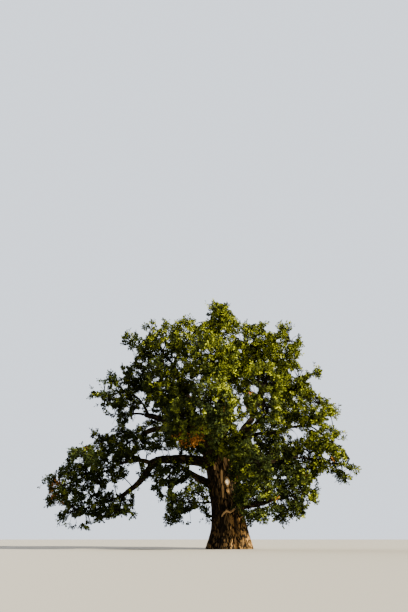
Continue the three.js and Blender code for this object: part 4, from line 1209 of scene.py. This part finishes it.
class Value:
    """A socket of a shader that arithmetic works on: each operation adds its Math node."""

    def __init__(self, paint, socket):
        self.paint, self.socket = paint, socket

    def _math(self, operation, first, second):
        return self.paint.node("ShaderNodeMath", {"operation": operation}, {0: first, 1: second})

    def __add__(self, other):
        return self._math("ADD", self, other)

    __radd__ = __add__

    def __sub__(self, other):
        return self._math("SUBTRACT", self, other)

    def __rsub__(self, other):
        return self._math("SUBTRACT", other, self)

    def __mul__(self, other):
        return self._math("MULTIPLY", self, other)

    __rmul__ = __mul__


class Paint:
    """A material in the making."""

    def __init__(self, name):
        self.material = bpy.data.materials.new(name)
        self.material.use_nodes = True
        self.tree = self.material.node_tree
        self.tree.nodes.clear()

    def node(self, kind, settings=None, sockets=None, output=0):
        """Adds a node: its settings first, then the values or links of its sockets."""
        made = self.tree.nodes.new(kind)
        for key, value in (settings or {}).items():
            if key == "stops":
                self._stops(made.color_ramp, value)
            else:
                setattr(made, key, value)
        for key, value in (sockets or {}).items():
            if isinstance(value, Value):
                self.tree.links.new(value.socket, made.inputs[key])
            else:
                made.inputs[key].default_value = value
        return Value(self, made.outputs[output]) if made.outputs else None

    @staticmethod
    def _stops(ramp, stops):
        for place, tone in stops[2:]:
            ramp.elements.new(place)
        for element, (place, tone) in zip(ramp.elements, sorted(stops)):
            element.position, element.color = place, (tone, tone, tone, 1)

    def here(self):
        """Object coordinates."""
        return self.node("ShaderNodeTexCoord", output="Object")

    def place(self, stretch=(1, 1, 1)):
        """Object coordinates, scaled along each axis."""
        return self.node("ShaderNodeMapping", {}, {"Vector": self.here(), "Scale": stretch})

    def attribute(self, name):
        """A number that the mesh carries at each of its corners."""
        return self.node("ShaderNodeAttribute", {"attribute_name": name}, output="Fac")

    def noise(self, place, scale, detail=3.0, roughness=0.55):
        return self.node("ShaderNodeTexNoise", {}, {
            "Vector": place, "Scale": scale, "Detail": detail, "Roughness": roughness})

    def ramp(self, value, stops):
        return self.node("ShaderNodeValToRGB", {"stops": stops}, {"Fac": value})

    def mixed(self, share, first, second):
        """A colour between two, each a colour or a link."""
        sockets = {0: share}
        for key, colour in ((6, first), (7, second)):
            sockets[key] = colour if isinstance(colour, Value) else (*colour, 1)
        return self.node("ShaderNodeMix", {"data_type": "RGBA"}, sockets, output=2)

    def finish(self, sockets, height=None, strength=0.5, distance=0.02):
        """Joins the values to a Principled shader, with a bump where a height is given."""
        if height is not None:
            sockets["Normal"] = self.node("ShaderNodeBump", {}, {
                "Height": height, "Strength": strength, "Distance": distance})
        shader = self.node("ShaderNodeBsdfPrincipled", {}, sockets)
        self.node("ShaderNodeOutputMaterial", {}, {"Surface": shader})
        return self.material


STREAKS = [(0.3, 0), (0.7, 1)]  # the stops that part pale streaks of bare wood from dark ones
# Patterns to the metre: the bark's grain and cracks, on the trunk, its patches, flutes and streaks of bare
# wood, the dead wood's streaks, and the leaves' patches and grain.
GRAIN_SCALE, CRACK_SCALE, PATCH_SCALE, FLUTE_SCALE, STREAK_SCALE = 26, 13, 1.4, 3.0, 3.0
DEAD_STREAK_SCALE, LEAF_PATCH_SCALE, LEAF_GRAIN_SCALE = 2.2, 1.6, 9.0
# How patterns are stretched: along the tree for bark, for its flutes, for streaks and for dead wood.
ALONG_BARK, ALONG_FLUTES, ALONG_STREAKS, ALONG_DEAD = (1, 1, 0.3), (1, 1, 0.1), (6, 6, 0.5), (9, 9, 9)


def dimmed(colour, share):
    """A share of a colour, darker below 1."""
    return tuple(share * part for part in colour)


@lru_cache(maxsize=None)
def bark_material(name, fineness, greyness):
    """Fissured bark: dark in the furrows, tan to grey on the plates, with bare wood where it is scarred.
    On the trunk it has painted shade in its clefts, and painted sunlight, lighter bark, low on its right."""
    wood = bpy.context.scene.oak_wood
    paint = Paint(name)
    here = paint.place(ALONG_BARK)
    ridge, bare = paint.attribute("ridge"), paint.attribute("bare")
    grain = paint.noise(here, GRAIN_SCALE * fineness, 5, 0.65)
    patch = paint.noise(paint.place(), PATCH_SCALE, 3)
    crack = paint.node("ShaderNodeTexVoronoi", {"feature": "DISTANCE_TO_EDGE"}, {
        "Vector": here, "Scale": CRACK_SCALE * fineness})
    furrow = paint.ramp(crack, [(0, 0), (0.16, 1)])
    plate = paint.mixed(paint.ramp(patch, [(0.35, 0), (0.65, 1)]), wood.bark_light, wood.bark_grey)
    if name == "trunk_bark":
        # Painted sunlight: lighter bark low on the right
        spot = paint.here()
        across, up = (paint.node("ShaderNodeSeparateXYZ", {}, {0: spot}, output=axis) for axis in "XZ")
        painted_sunlight = paint.ramp(across * 0.5 + patch * 0.2, [(0, 0), (0.3, 1)])
        painted_sunlight = painted_sunlight * paint.ramp(up * 0.2 + patch * 0.1, [(0.42, 1), (0.52, 0)])
        plate = paint.mixed(painted_sunlight, plate, PAINTED_SUNLIGHT_ON_TRUNK)
    if greyness:
        plate = paint.mixed(greyness, plate, dimmed(wood.bark_grey, 0.3))
    # Plates are light on their ridges and dark in the cracks, and whole flutes of them are darker.
    tone = paint.ramp(ridge * 0.7 + grain * 0.5, [(0.45, 0), (0.85, 1)])
    flute = paint.noise(paint.place(ALONG_FLUTES), FLUTE_SCALE, 3, 0.6)
    flute = paint.ramp(flute, [(0.42, 0), (0.6, 1)])
    bark = paint.mixed(tone * (furrow * 0.5 + 0.5) * (flute * 0.8 + 0.2), wood.bark_dark, plate)
    # Bare wood is streaked, and palest where it was laid bare last; that palest colour is partly painted
    # sunlight.
    streak = paint.noise(paint.place(ALONG_STREAKS), STREAK_SCALE, 4, 0.7)
    scar = paint.mixed(paint.ramp(streak, STREAKS), dimmed(wood.bare_wood, 0.5), wood.bare_wood)
    scar = paint.mixed(paint.ramp(bare, [(0.8, 0), (0.92, 1)]), scar, PALE_SCAR_AND_PAINTED_SUN)
    # Below 0 the mark is painted shade instead: bark darkened in a cleft.
    bark = paint.mixed(paint.ramp(bare * -1, [(0.1, 0), (0.9, 0.9)]), bark, wood.bark_dark)
    edge = paint.ramp(bare + grain * 0.3 - 0.15, [(0.3, 0), (0.45, 1)])
    colour = paint.mixed(edge, bark, scar)
    rough = 0.97 - 0.12 * grain
    height = (furrow * 0.6 + grain * 0.5) * (1 - edge * 0.75) + streak * edge * 0.3
    return paint.finish({"Base Color": colour, "Roughness": rough, "Specular IOR Level": 0.1},
                        height, 0.7, 0.025)


@lru_cache(maxsize=None)
def dead_wood_material():
    """Weathered bare wood, streaked along the grain."""
    wood = bpy.context.scene.oak_wood
    paint = Paint("dead_wood")
    streak = paint.noise(paint.place(ALONG_DEAD), DEAD_STREAK_SCALE, 5, 0.7)
    colour = paint.mixed(
        paint.ramp(streak, STREAKS), dimmed(wood.bare_wood, 0.35), dimmed(wood.bare_wood, 0.85))
    return paint.finish({"Base Color": colour, "Roughness": 0.85 - 0.1 * streak, "Specular IOR Level": 0.3},
                        streak, 0.5, 0.01)


@lru_cache(maxsize=None)
def leaf_material(tint):
    """A leaf tint that differs from leaf to leaf and wavers from place to place, with a soft waxy gloss."""
    colour = TINTS[tint]["colour"]
    paint = Paint("leaf_" + tint)
    here = paint.place()
    patch = paint.noise(here, LEAF_PATCH_SCALE, 2)
    fine = paint.noise(here, LEAF_GRAIN_SCALE, 2)
    tone = paint.attribute("tone")
    share = paint.ramp(patch * 0.25 + fine * 0.3 + tone * 0.45, [(0.27, 0), (0.73, 1)])
    shade = paint.mixed(share, dimmed(colour, 0.4), dimmed(colour, 1.6))
    return paint.finish({"Base Color": shade, "Roughness": 0.75 - 0.16 * fine, "Specular IOR Level": 0.05},
                        fine, 0.15, 0.01)


# Pieces

TRUNK_ROWS, TRUNK_COLUMNS, TRUNK_SEED, TRUNK_DOME = 150, 250, 3, 0.04
# The trunk swells where a bough leaves it, which is taken to be this far from its centre line: how far
# out, as a share of the bough's radius, over which width in degrees and over which height, which is a
# multiple of the radius and a little more.
LEAVES_TRUNK, BOUGH_SWELLING, SWELLING_WIDTH = 0.8, 0.45, 32
SWELLING_HIGH, SWELLING_MORE = 1.6, 0.1


def turned_from(bearing, middle):
    """Degrees between two bearings, from 0 to 180."""
    return np.abs((bearing - middle + 180) % 360 - 180)


def trunk_radius(share, turn):
    """The trunk's smooth radius: taper, root flare, ridges, clefts, folds and a swelling at each limb."""
    height = share * TRUNK["height"]
    bearing = np.degrees(turn)
    radius = trunk_taper(share)
    for middle, out, width, fades in RIDGES + FOLDS:
        radius = radius + out * bell(turned_from(bearing, middle) / width) * bell(height / fades)
    for name, limb in LIMBS.items():
        if limb.carrier != "trunk":
            continue
        path = routes()[name].at(np.linspace(0, 1, LEAVING_POINTS))
        axis = routes()["trunk"].at(np.clip(path[:, 2] / TRUNK["height"], 0, 1))
        leaves_at = np.argmax(np.linalg.norm((path - axis)[:, :2], axis=1) > LEAVES_TRUNK)
        if not leaves_at:
            continue
        spot, wide = path[leaves_at], limb.radii[0]
        apart = turned_from(bearing, math.degrees(math.atan2(*(spot - axis[leaves_at])[[1, 0]])))
        rise = (height - spot[2]) / (SWELLING_HIGH * wide + SWELLING_MORE)
        radius = radius + BOUGH_SWELLING * wide * bell(apart / SWELLING_WIDTH) * bell(rise)
    return radius


# The edge of a patch of bare wood: how ragged it is, the size and seed of its bays, where it begins and
# is whole, as shares of the patch, and how far back on the trunk patches reach.
BARE_RAGGED, BARE_BAY, BARE_SEED, BARE_EDGE, BARE_BACK = 0.22, 0.16, 31, (1.5, 0.6), -0.2


def mark_bare_and_painted_shade(mesh):
    """Marks the bare wood on the front of the trunk, and the painted shade in its clefts."""
    places = np.zeros(len(mesh.vertices) * 3, np.float32)
    mesh.vertices.foreach_get("co", places)
    places = places.reshape(-1, 3).astype(float)
    bare = np.zeros(len(places))
    ragged = smooth_noise(places / BARE_BAY, BARE_SEED) * BARE_RAGGED
    for (x, z), (wide, high), pale in BARE_PATCHES:
        off = np.hypot((places[:, 0] - x) / wide, (places[:, 2] - z) / high)
        strength = pale * smooth_step(*BARE_EDGE, off + ragged)
        bare = np.where(np.abs(strength) > np.abs(bare), strength, bare)
    bare[places[:, 1] > BARE_BACK] = 0
    carry(mesh, "bare", bare)


class OAK_OT_trunk(bpy.types.Operator):
    """Model the trunk's fissured bark, root flare and folds"""
    bl_idname = "oak.trunk"
    bl_label = "Trunk"

    def execute(self, context):
        wood = context.scene.oak_wood
        line = routes()["trunk"].at(np.linspace(0, 1, TRUNK_ROWS + 1))
        mesh = bark_tube(
            "trunk_bark", line, trunk_radius, TRUNK_COLUMNS, wood.bark_plate, wood.bark_depth, TRUNK_SEED,
            shut_top=TRUNK_DOME)
        mark_bare_and_painted_shade(mesh)
        piece_of("trunk_bark", mesh, bark_material("trunk_bark", 1.0, 0.0), ["trunk"])
        return {"FINISHED"}


BOUGH_ROW, FEWEST_ROWS = 0.13, 16  # the length of a row of faces, and the fewest of them
COLUMNS, THICK_COLUMNS, THICK_FROM = 16, 24, 0.2  # on a thin bough, on a thick one, and the radius of that
BOUGH_DOME = 0.03
SWELL_FULL = 0.3  # the share of a bough at which its bark's swelling is whole
# A bough's plates and fissures against the trunk's: the least, and how much they grow with its radius.
BOUGH_PLATE, BOUGH_DEPTH = (0.35, 1.1), (0.25, 1.3)
# The materials of the boughs and the twigs: name, how much finer than the trunk's, and how grey.
# The less grey, browner copy of the bough bark is painted sunlight on the boughs that take it.
BOUGH_BARK, PAINTED_SUNLIT_BARK = ("grey_bough_bark", 1.6, 0.85), ("painted_sunlit_bough_bark", 1.5, 0.3)
TWIG_BARK = ("twig_bark", 3.0, 0.85)


class OAK_OT_boughs(bpy.types.Operator):
    """Model each bough with its collar, its crooks and its bark"""
    bl_idname = "oak.boughs"
    bl_label = "Boughs"

    def execute(self, context):
        wood = context.scene.oak_wood
        for seed, name in enumerate(LIMBS, 1):
            route = routes()[name]
            steps = np.diff(route.at(np.linspace(0, 1, LENGTH_POINTS)), axis=0)
            length = np.linalg.norm(steps, axis=1).sum()
            foot = LIMBS[name].radii[0]
            rows = max(FEWEST_ROWS, round(length / BOUGH_ROW))
            columns = THICK_COLUMNS if foot > THICK_FROM else COLUMNS
            line = wander(route, np.linspace(0, 1, rows + 1), wood.wander * length, seed, length)
            plate, depth = (least + grows * foot for least, grows in (BOUGH_PLATE, BOUGH_DEPTH))

            def radius_at(share, turn):
                swell = 1 + SWELLS.get(name, 0) * smooth_step(0, SWELL_FULL, share)
                return limb_radius(name, share) * swell

            mesh = bark_tube(
                "bark_" + name, line, radius_at, columns, wood.bark_plate * plate, wood.bark_depth * depth,
                10 * seed, shut_top=BOUGH_DOME)
            # Painted sunlight: the boughs listed for it take the lighter, browner copy of the bark.
            bark = bark_material(*(PAINTED_SUNLIT_BARK if name in PAINTED_SUNLIT_LIMBS else BOUGH_BARK))
            piece_of("bark_" + name, mesh, bark, ["bough_" + name])
        return {"FINISHED"}


SHOOT_STEPS, SHOOT_COLUMNS = 12, 12
SHOOT_JOG, SHOOT_JOG_SIZE = 0.03, 0.2  # how far it jogs to and fro, and over which length
SHOOT_PLATE, SHOOT_DEPTH, SHOOT_DOME, SHOOT_SEED = 0.05, 0.012, 0.05, 77


class OAK_OT_dead_shoot(bpy.types.Operator):
    """Model the dead, crooked side shoot on the front of the trunk"""
    bl_idname = "oak.dead_shoot"
    bl_label = "Dead shoot"

    def execute(self, context):
        shares = np.linspace(0, 1, SHOOT_STEPS + 1)[1:, None]
        places = np.array(SNAG)
        line = np.concatenate(
            [places[:1]] + [start + (end - start) * shares for start, end in zip(places, places[1:])])
        jog = np.stack([smooth_noise(line / SHOOT_JOG_SIZE + 5 * k, 60 + k) for k in range(3)], axis=-1)
        start, end = SNAG_RADII
        mesh = bark_tube(
            "dead_shoot", line + jog * SHOOT_JOG, lambda share, turn: start + (end - start) * share,
            SHOOT_COLUMNS, SHOOT_PLATE, SHOOT_DEPTH, SHOOT_SEED, shut_top=SHOOT_DOME)
        piece_of("dead_shoot", mesh, dead_wood_material(), ["trunk"])
        return {"FINISHED"}


def foliage_nodes():
    """The nodes of all the masses, which the twigs and leaves stand for together."""
    return ["foliage_" + name for name in MASSES]


# Radii at foot and tip of a branchlet and of a spray's twig.
BRANCHLET_RADII, SPRAY_RADII = (0.024, 0.009), (0.009, 0.004)
STEM_POINTS, STEM_SIDES, TWIG_SIDES = 13, 8, 6
# How far a stem strays, over which length, and its thickness against the solid's, so that it stays inside.
STEM_WANDER, STEM_LENGTH, STEM_BARK, STEM_SEED = 0.1, 3.0, 0.9, 200


class OAK_OT_twigs(bpy.types.Operator):
    """Grow the stems, twigs, branchlets and the fine twigs of the sprays"""
    bl_idname = "oak.twigs"
    bl_label = "Twigs"

    def execute(self, context):
        thick, fine = [], []
        for number, (name, grown) in enumerate(crown().items()):
            fine.append(rods(grown["branchlets"], np.linspace(*BRANCHLET_RADII, BRANCHLET_STEPS + 1)))
            fine.append(rods(np.stack(grown["sprays"][:2], axis=1), SPRAY_RADII))
            if name in MASSES:
                shares = np.linspace(0, 1, STEM_POINTS)
                line = wander(grown["stem"], shares, STEM_WANDER, STEM_SEED + number, STEM_LENGTH)
                thick.append(rods(line[None], stem_radii(name, shares) * STEM_BARK, STEM_SIDES))
            feet, ends = np.array(grown.get("twigs", [])).reshape(-1, 2, 3).transpose(1, 0, 2)
            if len(feet):
                wide = TWIG_FOOT if name in MASSES else TUFT_TWIG
                radii = np.linspace(wide, TWIG_END, TWIG_STEPS + 1)
                thick.append(rods(curved(feet, ends, TWIG_RISE, TWIG_STEPS), radii, TWIG_SIDES))
        for name, parts in (("stems_and_twigs", thick), ("fine_twigs", fine)):
            mesh = array_mesh(name, *joined(parts), True)
            piece_of(name, mesh, bark_material(*TWIG_BARK), foliage_nodes())
        return {"FINISHED"}


# One leaf: its outline on one side between root and tip, along and across, how steeply its halves fold up
# and how far its tip droops, all as shares of its length, and its faces.
LEAF_SIDE = [(0.42, 0.26), (0.56, 0.13), (0.8, 0.33)]
LEAF_FOLD, LEAF_DROOP = 0.35, 0.12
LEAF_FACES = [(0, 1, 2), (0, 2, 7), (2, 3, 7), (0, 5, 4), (0, 7, 5), (5, 7, 6)]
LEAF_CORNERS = 8
MOST_TRIANGLES = 190_000  # in one piece of leaves


def leaf_places(root, way, broad, face, size):
    """The eight corners of each leaf: root, one side, the other side and the tip."""
    side = np.array([(x, y, LEAF_FOLD * y) for x, y in LEAF_SIDE])
    shape = np.concatenate([[(0, 0, 0)], side, side * (1, -1, 1), [(1, 0, 0)]])
    shape[:, 2] -= LEAF_DROOP * shape[:, 0] ** 2
    spread = (way[:, None] * shape[:, 0, None] + broad[:, None] * shape[:, 1, None]
              + face[:, None] * shape[:, 2, None])
    return (root[:, None] + spread * size[:, None, None]).reshape(-1, 3)


class OAK_OT_leaves(bpy.types.Operator):
    """Grow the leaves, with a tint dealt out to each spray"""
    bl_idname = "oak.leaves"
    bl_label = "Leaves"

    def execute(self, context):
        parts = crown().values()
        spray_ends, outward = (np.concatenate([grown["sprays"][k] for grown in parts]) for k in (1, 2))
        tints = tint_of(spray_ends, outward)
        starts = np.cumsum([0] + [len(grown["sprays"][1]) for grown in parts])
        columns = [np.concatenate([grown["leaves"][k] for grown in parts]) for k in range(5)]
        owner = np.concatenate([grown["leaves"][5] + start for grown, start in zip(parts, starts)])
        tones = np.random.default_rng(TONE_SEED).random(len(owner))
        for number, tint in enumerate(TINTS):
            mine = np.flatnonzero(tints[owner] == number)
            shares = max(1, math.ceil(len(mine) * len(LEAF_FACES) / MOST_TRIANGLES))
            for share, chosen in enumerate(np.array_split(mine, shares), 1):
                places = leaf_places(*(column[chosen] for column in columns))
                faces = (np.arange(len(chosen)) * LEAF_CORNERS)[:, None, None] + np.array(LEAF_FACES)
                name = f"leaves_{tint}" + (f"_{share}" if shares > 1 else "")
                mesh = array_mesh(name, places, faces.reshape(-1, 3), False)
                carry(mesh, "tone", np.repeat(tones[chosen], LEAF_CORNERS))
                piece_of(name, mesh, leaf_material(tint), foliage_nodes())
        return {"FINISHED"}


def sun_light(name, direction, colour, strength, softness):
    """A light from far away, from the direction given."""
    light = bpy.data.lights.new(name, "SUN")
    light.energy, light.angle, light.color = strength, softness, colour
    lamp = bpy.data.objects.new(name, light)
    lamp.rotation_euler = Vector(direction).to_track_quat("Z", "Y").to_euler()
    bpy.context.scene.collection.objects.link(lamp)


class OAK_OT_stage(bpy.types.Operator):
    """Set the plain floor, the surround, the lights and the camera"""
    bl_idname = "oak.stage"
    bl_label = "Stage"

    def execute(self, context):
        scene = context.scene
        stage = scene.oak_stage
        disc = bmesh.new()
        bmesh.ops.create_circle(disc, cap_ends=True, radius=FLOOR_RADIUS, segments=FLOOR_SIDES)
        mesh = bpy.data.meshes.new("floor")
        disc.to_mesh(mesh)
        disc.free()
        paint = Paint("floor")
        mesh.materials.append(paint.finish({"Base Color": (*stage.floor_colour, 1), "Roughness": 0.9}))
        floor = bpy.data.objects.new("floor", mesh)
        floor.location.z = -FLOOR_DROP
        scene.collection.objects.link(floor)
        world = bpy.data.worlds.new("surround")
        world.use_nodes = True
        back = world.node_tree.nodes["Background"]
        back.inputs["Color"].default_value = (*stage.sky_colour, 1)
        # What stands behind the tree is brighter than the light that comes from all round.
        ray = world.node_tree.nodes.new("ShaderNodeLightPath")
        strength = world.node_tree.nodes.new("ShaderNodeMapRange")
        strength.inputs["To Min"].default_value = stage.sky_strength
        strength.inputs["To Max"].default_value = stage.sky_behind
        world.node_tree.links.new(ray.outputs["Is Camera Ray"], strength.inputs["Value"])
        world.node_tree.links.new(strength.outputs["Result"], back.inputs["Strength"])
        scene.world = world
        sun_light("key", SUN_FROM, SUN_COLOUR, stage.sun_strength, stage.sun_softness)
        sun_light("fill", FILL_FROM, FILL_COLOUR, stage.fill_strength, FILL_SOFTNESS)
        camera = bpy.data.objects.new("camera", bpy.data.cameras.new("camera"))
        camera.data.lens = LENS
        camera.data.sensor_width = SENSOR
        camera.data.clip_end = 2 * FLOOR_RADIUS
        camera.location = EYE
        camera.rotation_euler = (math.radians(90 + EYE_PITCH), 0, 0)
        scene.collection.objects.link(camera)
        scene.camera = camera
        return {"FINISHED"}


class OAK_PT_panel(bpy.types.Panel):
    """The oak's settings and pieces"""
    bl_idname = "OAK_PT_panel"
    bl_label = "Field oak"
    bl_space_type = "VIEW_3D"
    bl_region_type = "UI"
    bl_category = "Oak"

    def draw(self, context):
        for title, group in (("Wood", "oak_wood"), ("Leaves", "oak_leaves"), ("Stage", "oak_stage")):
            box = self.layout.box()
            box.label(text=title)
            settings = getattr(context.scene, group)
            for key in settings.bl_rna.properties.keys():
                if key not in ("rna_type", "name"):
                    box.prop(settings, key)
        for operator in PIECES:
            self.layout.operator(operator.bl_idname)


GROUPS = {"oak_wood": WoodSettings, "oak_leaves": LeafSettings, "oak_stage": StageSettings}
PIECES = [OAK_OT_trunk, OAK_OT_boughs, OAK_OT_dead_shoot, OAK_OT_twigs, OAK_OT_leaves, OAK_OT_stage]


def register():
    """Registers the settings, the pieces and the panel."""
    for kind in [*GROUPS.values(), *PIECES, OAK_PT_panel]:
        bpy.utils.register_class(kind)
    for name, group in GROUPS.items():
        setattr(bpy.types.Scene, name, bpy.props.PointerProperty(type=group))


def unregister():
    """Takes them back."""
    for name in GROUPS:
        delattr(bpy.types.Scene, name)
    for kind in reversed([*GROUPS.values(), *PIECES, OAK_PT_panel]):
        bpy.utils.unregister_class(kind)


def main():
    """Makes the pieces and the stage in order."""
    register()
    bpy.ops.oak.trunk()
    bpy.ops.oak.boughs()
    bpy.ops.oak.dead_shoot()
    bpy.ops.oak.twigs()
    bpy.ops.oak.leaves()
    bpy.ops.oak.stage()


if __name__ == "__main__":
    main()
